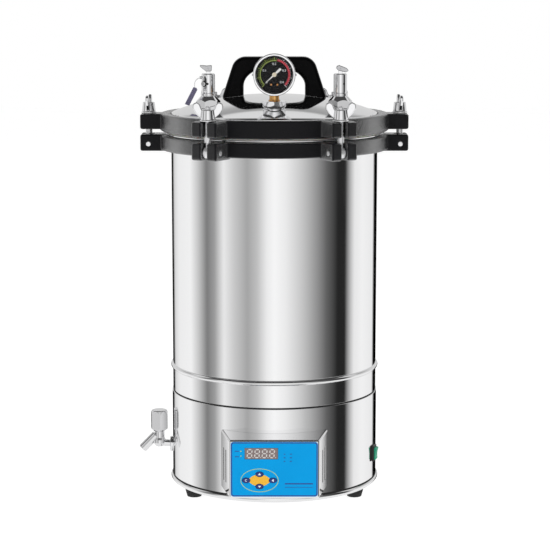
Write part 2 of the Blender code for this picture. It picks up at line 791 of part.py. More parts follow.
# ---------------------------------------------------------------- valves
def make_valve(prefix, outlet_angle, side_fitting):
    """A valve on a hexagon that follows the lid, with a slotted post for its lever."""
    x, y = fitting_places()[prefix]
    profile = [
        (0, VALVE_TOP),
        (VALVE_R - 0.0010, VALVE_TOP),
        (VALVE_R, VALVE_TOP - 0.0012),
        (VALVE_R, COLLAR_TOP),
        (HEX_TOP_R, COLLAR_TOP - 0.0010),
        (HEX_TOP_R, HEX_EDGE),
        (0, HEX_EDGE),
    ]
    body = turned(f"{prefix}_valve_body", profile, "chrome", steps=FINE, closed=False)
    body.location = (x, y, 0)
    turning = [
        (0, HEX_TOP),
        (HEX_TOP_R - GAP, HEX_TOP),
        (HEX_R + GAP, HEX_EDGE),
        (HEX_R + GAP, 0.5500),
        (0, 0.5500),
    ]
    hexagon = turned_hexagon(f"{prefix}_hexagon", HEX_R, 0.5600, HEX_TOP + GAP, turning, (x, y, 0), spin=15)
    cut(hexagon, dome_cutter(f"{prefix}_dome_cutter"))
    post = box(
        f"{prefix}_post", (x - 0.0028, y - 0.0014, VALVE_TOP - 0.001), (x + 0.0028, y + 0.0014, 0.6340),
    )
    stub = cylinder(f"{prefix}_stub", (x, y, STUB_BOTTOM), (x, y, 0.5860), STUB_R)
    join(body, hexagon, stub, post)
    middle = Vector((x, y, OUTLET_Z))
    if side_fitting:
        aim = Vector((-0.57, -0.82, 0))
        join(
            body,
            cylinder("side_boss", middle, middle + aim * 0.0130, 0.0036),
            cylinder("seal_post", (x, y, 0.6180), (x - 0.0125, y - 0.0020, 0.6180), 0.0020, segments=8),
        )
    angle = math.radians(outlet_angle)
    outwards = Vector((math.sin(angle), -math.cos(angle), 0))
    inside, outside = middle + outwards * 0.004, middle + outwards * 0.02
    front, back = (x, y - 0.01, LEVER_Z), (x, y + 0.01, LEVER_Z)
    cut(
        body,
        cylinder(f"{prefix}_lever_hole", front, back, 0.0014, segments=8),
        cylinder(f"{prefix}_outlet", inside, outside, 0.0016, segments=8),
    )


def make_lever(prefix, outline, direction, tilt):
    """A flip lever straddling the valve's post; direction is +1 to the right."""
    x, y = fitting_places()[prefix]
    if direction < 0:
        outline = [(-px, pz) for px, pz in reversed(outline)]
    lean = Matrix.Rotation(math.radians(-tilt * direction), 4, "Y")
    frame = Matrix.Translation((x, y, LEVER_Z))
    lever = plate(f"{prefix}_valve_lever", outline, 0.0072, "chrome", lean @ UPRIGHT)
    slot = box(f"{prefix}_lever_slot", (-0.0078, -0.0018, -0.010), (0.0078, 0.0018, 0.010))
    slot.data.transform(lean)
    pin = cylinder(f"{prefix}_lever_pin", (0, -0.0030, 0), (0, 0.0030, 0), 0.0010, segments=8)
    for piece in (lever, slot, pin):
        placed(piece, frame)
    cut(lever, slot)
    join(lever, pin)


def make_levers():
    blade = [
        (-0.0050, -0.0036), (0.0030, -0.0042), (0.0075, -0.0012), (0.0122, 0.0022),
        (0.0120, 0.0042), (0.0030, 0.0040), (-0.0050, 0.0052),
    ]
    make_lever("safety", blade, direction=-1, tilt=4)
    leaf = [
        (-0.0060, -0.0010), (-0.0025, -0.0034), (0.0040, -0.0036), (0.0090, -0.0030), (0.0125, 0.0),
        (0.0090, 0.0026), (0.0040, 0.0034), (-0.0030, 0.0044), (-0.0060, 0.0020),
    ]
    make_lever("release", leaf, direction=1, tilt=-14)


def make_seal_tag():
    """A folded strip that hangs from the safety valve on a wire loop."""
    top = Vector((-0.1130, -0.0590, 0.6040))
    bottom = Vector((-0.1262, -0.0590, 0.5785))
    along = top - bottom
    lean = math.atan2(along.x, along.z)
    half_w = 0.0034
    half_l = along.length / 2
    outline = [
        (-half_w, -half_l), (half_w, -half_l + 0.001), (half_w, half_l - 0.002),
        (half_w * 0.3, half_l), (-half_w, half_l - 0.001),
    ]
    stand = Matrix.Translation((top + bottom) / 2) @ Matrix.Rotation(lean, 4, "Y") @ UPRIGHT
    tag = plate("seal_tag", outline, 0.0012, "grey_tag", stand)
    loop = [
        (-0.1134, -0.0590, 0.6010), (-0.1150, -0.0590, 0.6070), (-0.1140, -0.0590, 0.6120),
        (-0.1110, -0.0590, 0.6155), (-0.1095, -0.0588, 0.6165),
    ]
    join(tag, tube("seal_wire", loop, 0.0006))


# ---------------------------------------------------------------- clamps
def copies(name, template, look, height, spins=(0,) * CLAMP_COUNT):
    """Share one template's finished mesh between the six clamps, each turned by its spin."""
    mesh = finished_mesh(template)
    for i, spin in enumerate(spins):
        piece = bpy.data.objects.new(f"{name}_{i + 1}", mesh)
        PARTS.objects.link(piece)
        piece.parent = CLAMP_EMPTIES[i]
        piece.location = (0, 0, height)
        piece.rotation_euler = (0, 0, math.radians(spin))
    mesh.materials.clear()
    mesh.materials.append(finish(look))


def make_clamp_empties():
    empties = []
    for i in range(CLAMP_COUNT):
        empty = bpy.data.objects.new(f"clamp_{i + 1}", None)
        PARTS.objects.link(empty)
        empty.matrix_world = clamp_frame(i)
        empties.append(empty)
    bpy.context.view_layer.update()
    return empties


def make_clamps():
    half = PIN_LENGTH / 2
    pin = cylinder("pin_template", (0, -half, 0), (0, half, 0), PIN_R)
    copies("hinge_pin", pin, "chrome", 0)

    shank = turned("bolt_template", [
        (0, BOLT_TOP),
        (THREAD_R, BOLT_TOP),
        (THREAD_R, COLLAR_Z[1]),
        (COLLAR_R, COLLAR_Z[1]),
        (COLLAR_R, COLLAR_Z[0]),
        (NECK_R, COLLAR_Z[0]),
        (NECK_R, 0.0052),
        (0, 0.0052),
    ], steps=COARSE, closed=False)
    eye = cylinder("eye_template", (0, -EYE_WIDTH / 2, 0), (0, EYE_WIDTH / 2, 0), EYE_R)
    bore = cylinder("bore_template", (0, -0.02, 0), (0, 0.02, 0), EYE_HOLE_R)
    join(shank, eye)
    cut(shank, bore)
    copies("swing_bolt", shank, "chrome", 0)

    low, high = WASHER_Z
    washer = turned("washer_template", [
        (WASHER_R, high - low), (WASHER_R, 0), (NUT_BORE_R, 0), (NUT_BORE_R, high - low),
    ], steps=COARSE)
    copies("clamp_washer", washer, "chrome", low)

    low, high = NUT_Z
    height = high - low
    hub = turned("nut_template", [
        (NUT_HUB_TOP_R, height),
        (NUT_HUB_R, 0.0015),
        (NUT_HUB_R, 0),
        (NUT_BORE_R, 0),
        (NUT_BORE_R, height),
    ], steps=COARSE)
    wing_outline = [
        (0.0062, 0.0010), (0.0098, 0.0010), (WING_TIP - 0.0042, 0.0095), (WING_TIP, 0.0165),
        (WING_TIP - 0.0013, 0.0225), (0.0150, WING_TOP), (0.0110, 0.0215), (0.0085, 0.0150),
        (0.0062, height - 0.0015),
    ]
    for side in (-1, 1):
        outline = wing_outline
        if side < 0:
            outline = [(-px, pz) for px, pz in reversed(wing_outline)]
        along_rim = Matrix.Rotation(math.radians(90), 4, "Z") @ UPRIGHT
        join(hub, plate(f"wing_template_{side}", outline, WING_THICKNESS, stand=along_rim))
    copies("wing_nut", hub, "chrome", low, NUT_SPINS)


# ---------------------------------------------------------------- control box
def frustum(name, inset, rear_y, look=None):
    """The tapered box, drawn in by a wall's thickness and carried back to rear_y."""
    front_y = PANEL_Y + inset
    shape = bmesh.new()
    bmesh.ops.create_cube(shape, size=1.0)
    for vertex in shape.verts:
        y = front_y if vertex.co.y < 0 else rear_y
        share = (y - PANEL_Y) / (BOX_REAR_Y - PANEL_Y)
        half, low, high = [a + (b - a) * share for a, b in zip(BOX_FRONT, BOX_REAR)]
        x = math.copysign(half - inset, vertex.co.x)
        z = high - inset if vertex.co.z > 0 else low + inset
        vertex.co = (x, y, z)
    return from_bmesh(name, shape, look)


def ellipse_bar(name, centre, radii, y_range, look=None):
    """An oval bar along Y."""
    outline = arc((0, 0), radii, 0, 360, 16)[:-1]
    depth = y_range[1] - y_range[0]
    stand = Matrix.Translation((centre[0], sum(y_range) / 2, centre[1])) @ UPRIGHT
    return plate(name, outline, depth, look, stand)


def key_places():
    x, z = KEYPAD_CENTRE
    across, up = KEY_SPACING
    return {
        "button_up": (x, z + up),
        "button_down": (x, z - up),
        "button_cycle": (x - across, z),
        "button_shift": (x + across, z),
    }


def panel_cutters(prefix):
    """Window and key holes, through the overlay and the plate behind it."""
    width, height = DISPLAY_SIZE
    x, z = DISPLAY_CENTRE
    low = (x - width / 2 - GAP, PANEL_Y - 0.01, z - height / 2 - GAP)
    high = (x + width / 2 + GAP, PANEL_Y + 0.01, z + height / 2 + GAP)
    cutters = [box(f"{prefix}_window", low, high)]
    radii = (KEY_RADII[0] + GAP, KEY_RADII[1] + GAP)
    for name, centre in key_places().items():
        y_range = (PANEL_Y - 0.01, PANEL_Y + 0.01)
        cutters.append(ellipse_bar(f"{prefix}_{name}_hole", centre, radii, y_range))
    return cutters


def make_control_box():
    shell = frustum("control_box", 0, -0.105, "mirror_steel")
    hollow = frustum("control_hollow", BOX_WALL, -0.100)
    # the barrel of the jacket, which the open back of the box fits round
    barrel = turned("control_jacket_cutter", [
        (0, 0.2), (JACKET_R + GAP, 0.2), (JACKET_R + GAP, 0), (0, 0),
    ], closed=False)
    cut(shell, hollow, barrel)
    for i, y in enumerate((-0.1480, -0.1620)):
        cut(shell, box(f"side_vent_{i}", (-0.1, y - 0.0034, 0.046), (0.1, y + 0.0034, 0.094)))
    cut(shell, *panel_cutters("plate"))

    width, height = OVERLAY_SIZE
    half_w = width / 2
    half_h = height / 2
    corner = OVERLAY_CORNER
    outline = []
    for sx, sz, start in ((1, 1, 0), (-1, 1, 90), (-1, -1, 180), (1, -1, 270)):
        centre = (sx * (half_w - corner), sz * (half_h - corner))
        outline += arc(centre, (corner, corner), start, start + 90, 3)
    overlay_y = PANEL_Y - GAP - OVERLAY_THICKNESS / 2
    stand = Matrix.Translation((0, overlay_y, OVERLAY_CENTRE_Z)) @ UPRIGHT
    overlay = plate("control_overlay", outline, OVERLAY_THICKNESS, "blue_film", stand)
    cut(overlay, *panel_cutters("film"))

    width, height = DISPLAY_SIZE
    x, z = DISPLAY_CENTRE
    box(
        "display_window",
        (x - width / 2, PANEL_Y - 0.0009, z - height / 2),
        (x + width / 2, PANEL_Y + 0.0100, z + height / 2),
        "smoked_display",
    )
    for name, centre in key_places().items():
        ellipse_bar(name, centre, KEY_RADII, (KEY_FRONT, KEY_BACK), "navy_key")


# ---------------------------------------------------------------- tap, switch, gland
def make_tap():
    body = cylinder(
        "tap_body", (-JACKET_R - 2 * GAP, 0, TAP_Z), (-0.1575, 0, TAP_Z), TAP_FLANGE_R, "chrome", FINE,
    )
    shank = cylinder("tap_shank", (-0.1560, 0, TAP_Z), (-0.1400, 0, TAP_Z), TAP_SHANK_R, segments=FINE)
    bend = arc((DRAIN_X - 0.014, TAP_Z + 0.014), (0.014, 0.014), 270, 360, 5)
    drain = [(-0.1450, 0, TAP_Z)] + [(x, 0, z) for x, z in bend]
    drain.append((DRAIN_X, 0, CHAMBER_FLOOR - FLOOR_THICKNESS - GAP))
    start = (SPOUT_START[0], 0, SPOUT_START[1])
    tip = (SPOUT_TIP[0], 0, SPOUT_TIP[1])
    stem = turned("tap_stem", [
        (0, 0.0950), (0.0040, 0.0950), (0.0040, TAP_STEM_TOP), (TAP_STEM_R, TAP_STEM_TOP),
        (TAP_STEM_R, 0.0655), (0, 0.0655),
    ], steps=FINE, closed=False)
    stem.location = (TAP_X, 0, 0)
    join(
        body, shank, tube("drain_pipe", drain, 0.0050),
        cylinder("tap_pipe", (-0.1490, 0, TAP_Z), (TAP_X, 0, TAP_Z + 0.0020), TAP_PIPE_R, segments=16),
        ball("tap_ball", (TAP_X, 0, 0.0668), 0.0092),
        stem,
        cylinder("tap_spout", start, tip, SPOUT_R, segments=FINE),
    )
    direction = (Vector(tip) - Vector(start)).normalized()
    mouth = Vector(tip) - direction * 0.003
    beyond = Vector(tip) + direction * 0.01
    cut(body, cylinder("spout_mouth", mouth, beyond, SPOUT_R - 0.0015, segments=FINE))

    knob = cylinder("tap_knob", (0, 0, 0.0045), (0, 0, 0.0325), KNOB_R, "chrome", 6, 0.0108, spin=8)
    join(
        knob,
        cylinder("knob_base", (0, 0, 0), (0, 0, 0.0050), 0.0090, segments=6, end_radius=KNOB_R, spin=8),
    )
    knob_bore = cylinder("knob_bore", (0, 0, -0.01), (0, 0, 0.0130), 0.0046)
    place = Matrix.Translation((TAP_X, 0, KNOB_Z[0]))
    for tool in (knob, bpy.data.objects["knob_base"], knob_bore):
        placed(tool, place)
    cut(knob, knob_bore)


def switch_frame():
    """Placing of the switch: local x out of the jacket, origin on its surface."""
    turn = Matrix.Rotation(math.radians(SWITCH_ANGLE), 4, "Z")
    return turn @ Matrix.Translation((JACKET_R, 0, SWITCH_Z))


def make_switch():
    width, height = SWITCH_FACE
    body_w, body_h = SWITCH_BODY
    pocket_w = ROCKER_SIZE[0] + 0.0008
    pocket_h = ROCKER_SIZE[1] + 0.0016

    def block(name, depths, wide, tall, look=None):
        low = (depths[0], -wide / 2, -tall / 2)
        return box(name, low, (depths[1], wide / 2, tall / 2), look)

    bezel = block("switch_bezel", (2 * GAP, 0.0034), width, height, "black_plastic")
    body = block("switch_body", (-0.0200, 0.0020), body_w, body_h)
    pocket = block("switch_pocket", (-0.0120, 0.0200), pocket_w, pocket_h)
    for piece in (bezel, body, pocket):
        placed(piece, switch_frame())
    join(bezel, body)
    cut(bezel, pocket)

    half_w = ROCKER_SIZE[0] / 2
    half_h = ROCKER_SIZE[1] / 2
    # side view of the rocker, x out of the jacket; a shallow V across its face
    outline = [
        (-0.0040, -half_h * 0.75), (0.0034, -half_h), (0.0066, -half_h * 0.94), (0.0052, 0),
        (0.0066, half_h * 0.94), (0.0034, half_h), (-0.0040, half_h * 0.75),
    ]
    lean = Matrix.Rotation(math.radians(ROCKER_TILT), 4, "Y")
    rocker = plate("switch_rocker", outline, 2 * half_w, "green_rocker", lean @ UPRIGHT)
    placed(rocker, switch_frame())


def make_power_gland():
    wall = JACKET_R + 2 * GAP
    gland = cylinder(
        "power_gland", (0, wall, GLAND_Z), (0, wall + 0.0055, GLAND_Z), 0.0125, "black_plastic", 6,
    )
    join(
        gland,
        cylinder("gland_shank", (0, 0.1400, GLAND_Z), (0, wall + 0.002, GLAND_Z), 0.0062, segments=16),
        cylinder("gland_dome", (0, wall + 0.0040, GLAND_Z), (0, 0.1680, GLAND_Z), 0.0095, segments=16),
        cylinder("gland_boot", (0, 0.1670, GLAND_Z), (0, GLAND_TIP, GLAND_Z), 0.0080, segments=16,
                 end_radius=0.0058),
    )
    cut(gland, cylinder("gland_bore", (0, 0.1780, GLAND_Z), (0, 0.2, GLAND_Z), 0.0036))


# ---------------------------------------------------------------- build
clear_scene()
PARTS = new_collection("benchtop_autoclave")
CUTTERS = new_collection("cutters")
CLAMP_EMPTIES = make_clamp_empties()

make_vessel()
make_base_jacket()
make_base_plate()
make_feet()
make_chamber_pieces()
make_lower_flange()
make_upper_flange()
make_lid()
make_lid_handle()
make_gauge()
make_valve("safety", outlet_angle=-5, side_fitting=True)
make_valve("release", outlet_angle=33, side_fitting=False)
make_levers()
make_seal_tag()
make_clamps()
make_control_box()
make_tap()
make_switch()
make_power_gland()
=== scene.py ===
"""The looks of the portable autoclave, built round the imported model.

Metres, +Z up, the control panel faces -Y. Each piece rides on its CAD body and
stands for its CAD node; shells and rings are turned about Z from (radius, height).
"""

import math

import bmesh
import bpy
from mathutils import Matrix, Vector


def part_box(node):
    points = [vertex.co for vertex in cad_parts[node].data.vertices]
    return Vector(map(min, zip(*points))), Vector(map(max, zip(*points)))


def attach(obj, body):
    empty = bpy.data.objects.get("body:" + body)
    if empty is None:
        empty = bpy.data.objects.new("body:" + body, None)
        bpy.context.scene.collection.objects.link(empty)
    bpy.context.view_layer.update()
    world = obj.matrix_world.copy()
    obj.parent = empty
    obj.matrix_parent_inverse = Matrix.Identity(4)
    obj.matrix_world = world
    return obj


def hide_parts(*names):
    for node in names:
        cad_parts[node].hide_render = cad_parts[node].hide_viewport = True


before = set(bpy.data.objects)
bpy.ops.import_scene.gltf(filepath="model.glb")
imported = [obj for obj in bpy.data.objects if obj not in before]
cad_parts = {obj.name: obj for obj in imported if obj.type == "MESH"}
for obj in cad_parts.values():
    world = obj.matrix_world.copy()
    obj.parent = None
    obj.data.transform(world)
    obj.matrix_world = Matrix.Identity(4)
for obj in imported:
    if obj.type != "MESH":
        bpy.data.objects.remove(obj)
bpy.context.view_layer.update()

# ---------------------------------------------------------------- sizes
LARGE = 192                 # facets round the large shells
MEDIUM = 64                 # facets round valves, gauge and tap
SMALL = 40                  # facets round fasteners
HAIR = 0.0003               # clearance between touching pieces
PRINT = 0.00008             # thickness of a printed mark

CHAMBER_FLOOR = 0.181
FLOOR_THICKNESS = 0.004
BARREL_R = 0.152
CHAMBER_R = 0.150
BEAD_Z = 0.188
BEAD_R = 0.155
RIM_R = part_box("vessel")[1].x
RIM_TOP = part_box("vessel")[1].z
RIM_BOTTOM = 0.533
SKIRT_BOTTOM = 0.1522
JACKET_R = 0.1532
JACKET_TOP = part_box("base_jacket")[1].z
JACKET_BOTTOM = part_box("base_jacket")[0].z
BASE_RIM_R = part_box("base_jacket")[1].x

FLANGE_R = 0.1675
UPPER_FLANGE_Z = (0.5384, 0.5640)
LOWER_FLANGE_Z = (0.511, 0.5325)
LID_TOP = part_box("lid_dome")[1].z
LID_SHOULDER_R = 0.1488
LID_DROP = 0.0249
LID_CURVE = 2.35
LID_WALL = 0.0018

CLAMP_COUNT = 6
PIN_RING_R = 0.185
PIN_Z = 0.519
LUG_FACE = 0.197
LUG_WIDTH = 0.041
LUG_SLOT = 0.0105
NUT_SPINS = (4, 25, -35, -4, 30, -30)
WING_TIP = 0.0220
WING_TOP = 0.0250

FITTING_RING_R = 0.110
VALVE_ANGLE = 60.0
GAUGE_Z = 0.6255
GAUGE_R = 0.0300
GAUGE_DEPTH = 0.0250
DIAL_R = 0.0262
DIAL_Z = GAUGE_DEPTH - 0.0065
LEVER_Z = 0.6310
HEX_R = 0.0180
HEX_EDGE = 0.5835
HEX_TOP = 0.5915
HEX_TOP_R = 0.0108
OUTLET_Z = 0.6095

PANEL_Y = -0.1844
TAP_X = -0.1738
TAP_Z = 0.0625
SWITCH_ANGLE = -16.0
SWITCH_Z = 0.0590

UPRIGHT = Matrix.Rotation(math.radians(90), 4, "X")


# ---------------------------------------------------------------- outlines
def arc(centre, radii, start, end, steps):
    """Points along an arc or an elliptic one; angles in degrees."""
    points = []
    for i in range(steps + 1):
        angle = math.radians(start + (end - start) * i / steps)
        points.append((centre[0] + radii[0] * math.cos(angle), centre[1] + radii[1] * math.sin(angle)))
    return points


def rounded(corners, closed=True, steps=5):
    """Corners given as (x, y) or (x, y, radius), each radius turned into an arc."""
    made = []
    count = len(corners)
    for i, corner in enumerate(corners):
        here = Vector(corner[:2])
        ends = not closed and i in (0, count - 1)
        if len(corner) == 2 or ends:
            made.append(tuple(here))
            continue
        before = Vector(corners[i - 1][:2]) - here
        after = Vector(corners[(i + 1) % count][:2]) - here
        half = before.angle(after) / 2
        reach = min(corner[2] / math.tan(half), before.length * 0.49, after.length * 0.49)
        radius = reach * math.tan(half)
        centre = here + (before.normalized() + after.normalized()).normalized() * radius / math.sin(half)
        first = before.normalized() * reach + here - centre
        last = after.normalized() * reach + here - centre
        start = math.atan2(first.y, first.x)
        sweep = math.remainder(math.atan2(last.y, last.x) - start, math.tau)
        for k in range(steps + 1):
            angle = start + sweep * k / steps
            made.append((centre.x + radius * math.cos(angle), centre.y + radius * math.sin(angle)))
    return made


def regular(count, radius, spin=0.0):
    """Corners of a regular polygon; spin in degrees."""
    return arc((0, 0), (radius, radius), spin, spin + 360, count)[:-1]


def oval(radii, steps=40):
    return arc((0, 0), radii, 0, 360, steps)[:-1]


# ---------------------------------------------------------------- mesh helpers
def add(name, mesh):
    obj = bpy.data.objects.new(name, mesh)
    bpy.context.scene.collection.objects.link(obj)
    return obj


def lathe(name, profile, steps=LARGE, closed=False):
    """Turn (radius, height) points about Z into one closed surface."""
    count = len(profile)
    verts = []
    faces = []
    for i in range(steps):
        angle = math.tau * i / steps
        verts += [(r * math.cos(angle), r * math.sin(angle), z) for r, z in profile]
    for i in range(steps):
        here = i * count
        there = (i + 1) % steps * count
        for k in range(count if closed else count - 1):
            n = (k + 1) % count
            faces.append((here + k, there + k, there + n, here + n))
    mesh = bpy.data.meshes.new(name)
    mesh.from_pydata(verts, [], faces)
    return tidied(add(name, mesh))


def tidied(obj):
    """Merge doubled points, drop faces with no area and turn all faces outwards."""
    shape = bmesh.new()
    shape.from_mesh(obj.data)
    bmesh.ops.remove_doubles(shape, verts=shape.verts, dist=0.000002)
    bmesh.ops.dissolve_degenerate(shape, edges=shape.edges, dist=0.000001)
    bmesh.ops.recalc_face_normals(shape, faces=shape.faces)
    shape.to_mesh(obj.data)
    shape.free()
    return obj


def applied(obj):
    """Turn an object with modifiers, or a curve, into a plain mesh object."""
    bpy.context.view_layer.update()
    graph = bpy.context.evaluated_depsgraph_get()
    mesh = bpy.data.meshes.new_from_object(obj.evaluated_get(graph))
    name = obj.name
    matrix = obj.matrix_world.copy()
    bpy.data.objects.remove(obj, do_unlink=True)
    made = add(name, mesh)
    made.name = name
    made.matrix_world = matrix
    return made


def moved(obj, matrix):
    obj.data.transform(matrix)
    return obj


def solid(name, outline, thickness, edge=0.0, stand=None, steps=3):
    """A flat outline given a thickness about its plane, with its edges rounded."""
    curve = bpy.data.curves.new(name, "CURVE")
    curve.dimensions = "2D"
    curve.fill_mode = "BOTH"
    curve.extrude = thickness / 2 - edge
    curve.bevel_depth = edge
    curve.bevel_resolution = steps
    curve.offset = -edge
    spline = curve.splines.new("POLY")
    spline.points.add(len(outline) - 1)
    for point, (x, y) in zip(spline.points, outline):
        point.co = (x, y, 0, 1)
    spline.use_cyclic_u = True
    obj = tidied(applied(add(name, curve)))
    return moved(obj, stand) if stand else obj


def bar(name, start, end, profile, steps=MEDIUM):
    """A turned bar from start to end; profile is (radius, distance along it)."""
    start = Vector(start)
    axis = Vector(end) - start
    obj = lathe(name, [(0, profile[0][1])] + profile + [(0, profile[-1][1])], steps)
    aim = Vector((0, 0, 1)).rotation_difference(axis).to_matrix().to_4x4()
    return moved(obj, Matrix.Translation(start) @ aim)


def rod(name, start, end, radius, edge=0.0, steps=MEDIUM):
    """A round bar with rounded ends."""
    length = (Vector(end) - Vector(start)).length
    profile = [(radius, 0), (radius, length)]
    if edge:
        profile = rounded(
            [(0, 0), (radius, 0, edge), (radius, length, edge), (0, length)], closed=False,
        )[1:-1]
    return bar(name, start, end, profile, steps)


def wire(name, points, radius, sides=4):
    """A round wire on a smooth curve through points."""
    curve = bpy.data.curves.new(name, "CURVE")
    curve.dimensions = "3D"
    curve.bevel_depth = radius
    curve.bevel_resolution = sides
    curve.resolution_u = 8
    curve.use_fill_caps = True
    spline = curve.splines.new("BEZIER")
    spline.bezier_points.add(len(points) - 1)
    for point, place in zip(spline.bezier_points, points):
        point.co = place
        point.handle_left_type = "AUTO"
        point.handle_right_type = "AUTO"
    return tidied(applied(add(name, curve)))


def box(name, low, high, edge=0.0, steps=3):
    """A box between two corners, with its edges rounded."""
    shape = bmesh.new()
    bmesh.ops.create_cube(shape, size=1.0)
    low = Vector(low)
    high = Vector(high)
    bmesh.ops.scale(shape, vec=high - low, verts=shape.verts)
    bmesh.ops.translate(shape, vec=(low + high) / 2, verts=shape.verts)
    if edge:
        bmesh.ops.bevel(
            shape, geom=shape.edges[:], offset=edge, segments=steps, profile=0.5, affect="EDGES",
        )
    mesh = bpy.data.meshes.new(name)
    shape.to_mesh(mesh)
    shape.free()
    return add(name, mesh)


def combined(obj, tools, operation):
    for tool in tools:
        modifier = obj.modifiers.new(tool.name, "BOOLEAN")
        modifier.operation = operation
        modifier.object = tool
    made = applied(obj)
    for tool in tools:
        bpy.data.objects.remove(tool, do_unlink=True)
    return made


def cut(obj, *tools):
    return combined(obj, tools, "DIFFERENCE")


def union(obj, *tools):
    return combined(obj, tools, "UNION")


def cast(obj, voxel, smooth):
    """Melt a built-up shape into one casting with soft edges."""
    remesh = obj.modifiers.new("Remesh", "REMESH")
    remesh.mode = "VOXEL"
    remesh.voxel_size = voxel
    relax = obj.modifiers.new("Relax", "SMOOTH")
    relax.iterations = smooth
    relax.factor = 0.5
    return applied(obj)


def show(obj, look, body, *nodes, slot=None, sharp=35.0):
    """Give a piece its finish, its body and the CAD nodes it stands for."""
    obj.data.materials.clear()
    obj.data.materials.append(look)
    obj.data.shade_smooth()
    obj.data.set_sharp_from_angle(angle=math.radians(sharp))
    weighted = obj.modifiers.new("Even shading", "WEIGHTED_NORMAL")
    weighted.keep_sharp = True
    weighted.weight = 80
    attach(obj, body)
    if nodes:
        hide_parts(*nodes)
    return obj


# ---------------------------------------------------------------- materials
def new_look(name, colour, roughness, metallic=0.0, **sockets):
    look = bpy.data.materials.new(name)
    look.use_nodes = True
    shader = look.node_tree.nodes["Principled BSDF"]
    shader.inputs["Base Color"].default_value = (*colour, 1.0)
    shader.inputs["Roughness"].default_value = roughness
    shader.inputs["Metallic"].default_value = metallic
    for socket, value in sockets.items():
        shader.inputs[socket.replace("_", " ")].default_value = value
    return look


def node(look, kind, **inputs):
    made = look.node_tree.nodes.new(kind)
    for socket, value in inputs.items():
        made.inputs[socket.replace("_", " ")].default_value = value
    return made


def join_nodes(look, source, target):
    look.node_tree.links.new(source, target)


def noise(look, scale, detail=3.0, stretch=(1, 1, 1)):
    """Cloudy noise over the piece, from 0 to 1; scale is in blobs per metre."""
    place = node(look, "ShaderNodeTexCoord")
    mapping = node(look, "ShaderNodeMapping", Scale=stretch)
    clouds = node(look, "ShaderNodeTexNoise", Scale=scale, Detail=detail)
    join_nodes(look, place.outputs["Object"], mapping.inputs["Vector"])
    join_nodes(look, mapping.outputs["Vector"], clouds.inputs["Vector"])
    return clouds.outputs["Fac"]


def spread(look, value, low, high, start=0.3, end=0.7):
    """Map a noise onto the range from low to high."""
    made = node(look, "ShaderNodeMapRange", From_Min=start, From_Max=end, To_Min=low, To_Max=high)
    join_nodes(look, value, made.inputs["Value"])
    return made.outputs["Result"]


def vary_roughness(look, scale, low, high, detail=3.0, stretch=(1, 1, 1)):
    shader = look.node_tree.nodes["Principled BSDF"]
    join_nodes(
        look, spread(look, noise(look, scale, detail, stretch), low, high), shader.inputs["Roughness"],
    )


def vary_colour(look, scale, first, second, detail=3.0, stretch=(1, 1, 1)):
    mix = node(look, "ShaderNodeMix")
    mix.data_type = "RGBA"
    mix.inputs[6].default_value = (*first, 1)
    mix.inputs[7].default_value = (*second, 1)
    join_nodes(look, spread(look, noise(look, scale, detail, stretch), 0, 1), mix.inputs[0])
    join_nodes(look, mix.outputs[2], look.node_tree.nodes["Principled BSDF"].inputs["Base Color"])


def add_bump(look, height, depth, strength=1.0):
    """Relief from a height between 0 and 1; depth is its real height in metres."""
    shader = look.node_tree.nodes["Principled BSDF"]
    relief = node(look, "ShaderNodeBump", Strength=strength, Distance=depth)
    join_nodes(look, height, relief.inputs["Height"])
    if shader.inputs["Normal"].is_linked:
        join_nodes(look, shader.inputs["Normal"].links[0].from_socket, relief.inputs["Normal"])
    join_nodes(look, relief.outputs["Normal"], shader.inputs["Normal"])


def grazing(look, start, end):
    """0 where a surface faces the eye, 1 where it turns away."""
    facing = node(look, "ShaderNodeLayerWeight", Blend=0.5)
    return spread(look, facing.outputs["Facing"], 0, 1, start, end)


def coat_by_angle(look, start, end):
    """Let the gloss come up only where the surface turns away from the eye."""
    shader = look.node_tree.nodes["Principled BSDF"]
    join_nodes(look, grazing(look, start, end), shader.inputs["Coat Weight"])
    if shader.inputs["Normal"].is_linked:
        join_nodes(look, shader.inputs["Normal"].links[0].from_socket, shader.inputs["Coat Normal"])


def mirror_steel():
    """Polished sheet: faint waviness and a little haze that changes over the surface."""
    look = new_look("mirror_steel", (0.92, 0.92, 0.925), 0.07, 1.0)
    vary_roughness(look, 7.0, 0.045, 0.10)
    add_bump(look, noise(look, 9.0, 1.0, (1, 1, 0.35)), 0.00012)
    return look


def satin_steel():
    """Steel sheet with a fine grain round the axis."""
    look = new_look("satin_steel", (0.72, 0.72, 0.73), 0.32, 1.0)
    vary_roughness(look, 60.0, 0.24, 0.42, 4.0, (1, 1, 14))
    add_bump(look, noise(look, 90.0, 5.0, (1, 1, 16)), 0.00002)
    return look


def chrome():
    look = new_look("chrome", (0.93, 0.93, 0.94), 0.05, 1.0)
    vary_roughness(look, 90.0, 0.03, 0.11)
    add_bump(look, noise(look, 120.0, 2.0), 0.00003)
    return look


def zinc_plate(name, tone, roughness, metallic):
    """Plating on turned or cast metal, a little cloudy."""
    look = new_look(name, (tone, tone, tone + 0.01), roughness, metallic)
    vary_roughness(look, 160.0, roughness * 0.8, roughness * 1.3)
    return look


def wrinkle_paint():
    """Black wrinkle finish on a casting: short creases over a broad unevenness."""
    look = new_look(
        "wrinkle_paint", (0.0045, 0.0045, 0.0055), 0.4,
        Specular_IOR_Level=0.16, Coat_IOR=3.0, Coat_Roughness=0.2,
    )
    vary_roughness(look, 300.0, 0.28, 0.5)
    add_bump(look, noise(look, 90.0, 3.0), 0.0004)
    add_bump(look, noise(look, 560.0, 6.0), 0.0008)
    coat_by_angle(look, 0.10, 0.48)
    return look


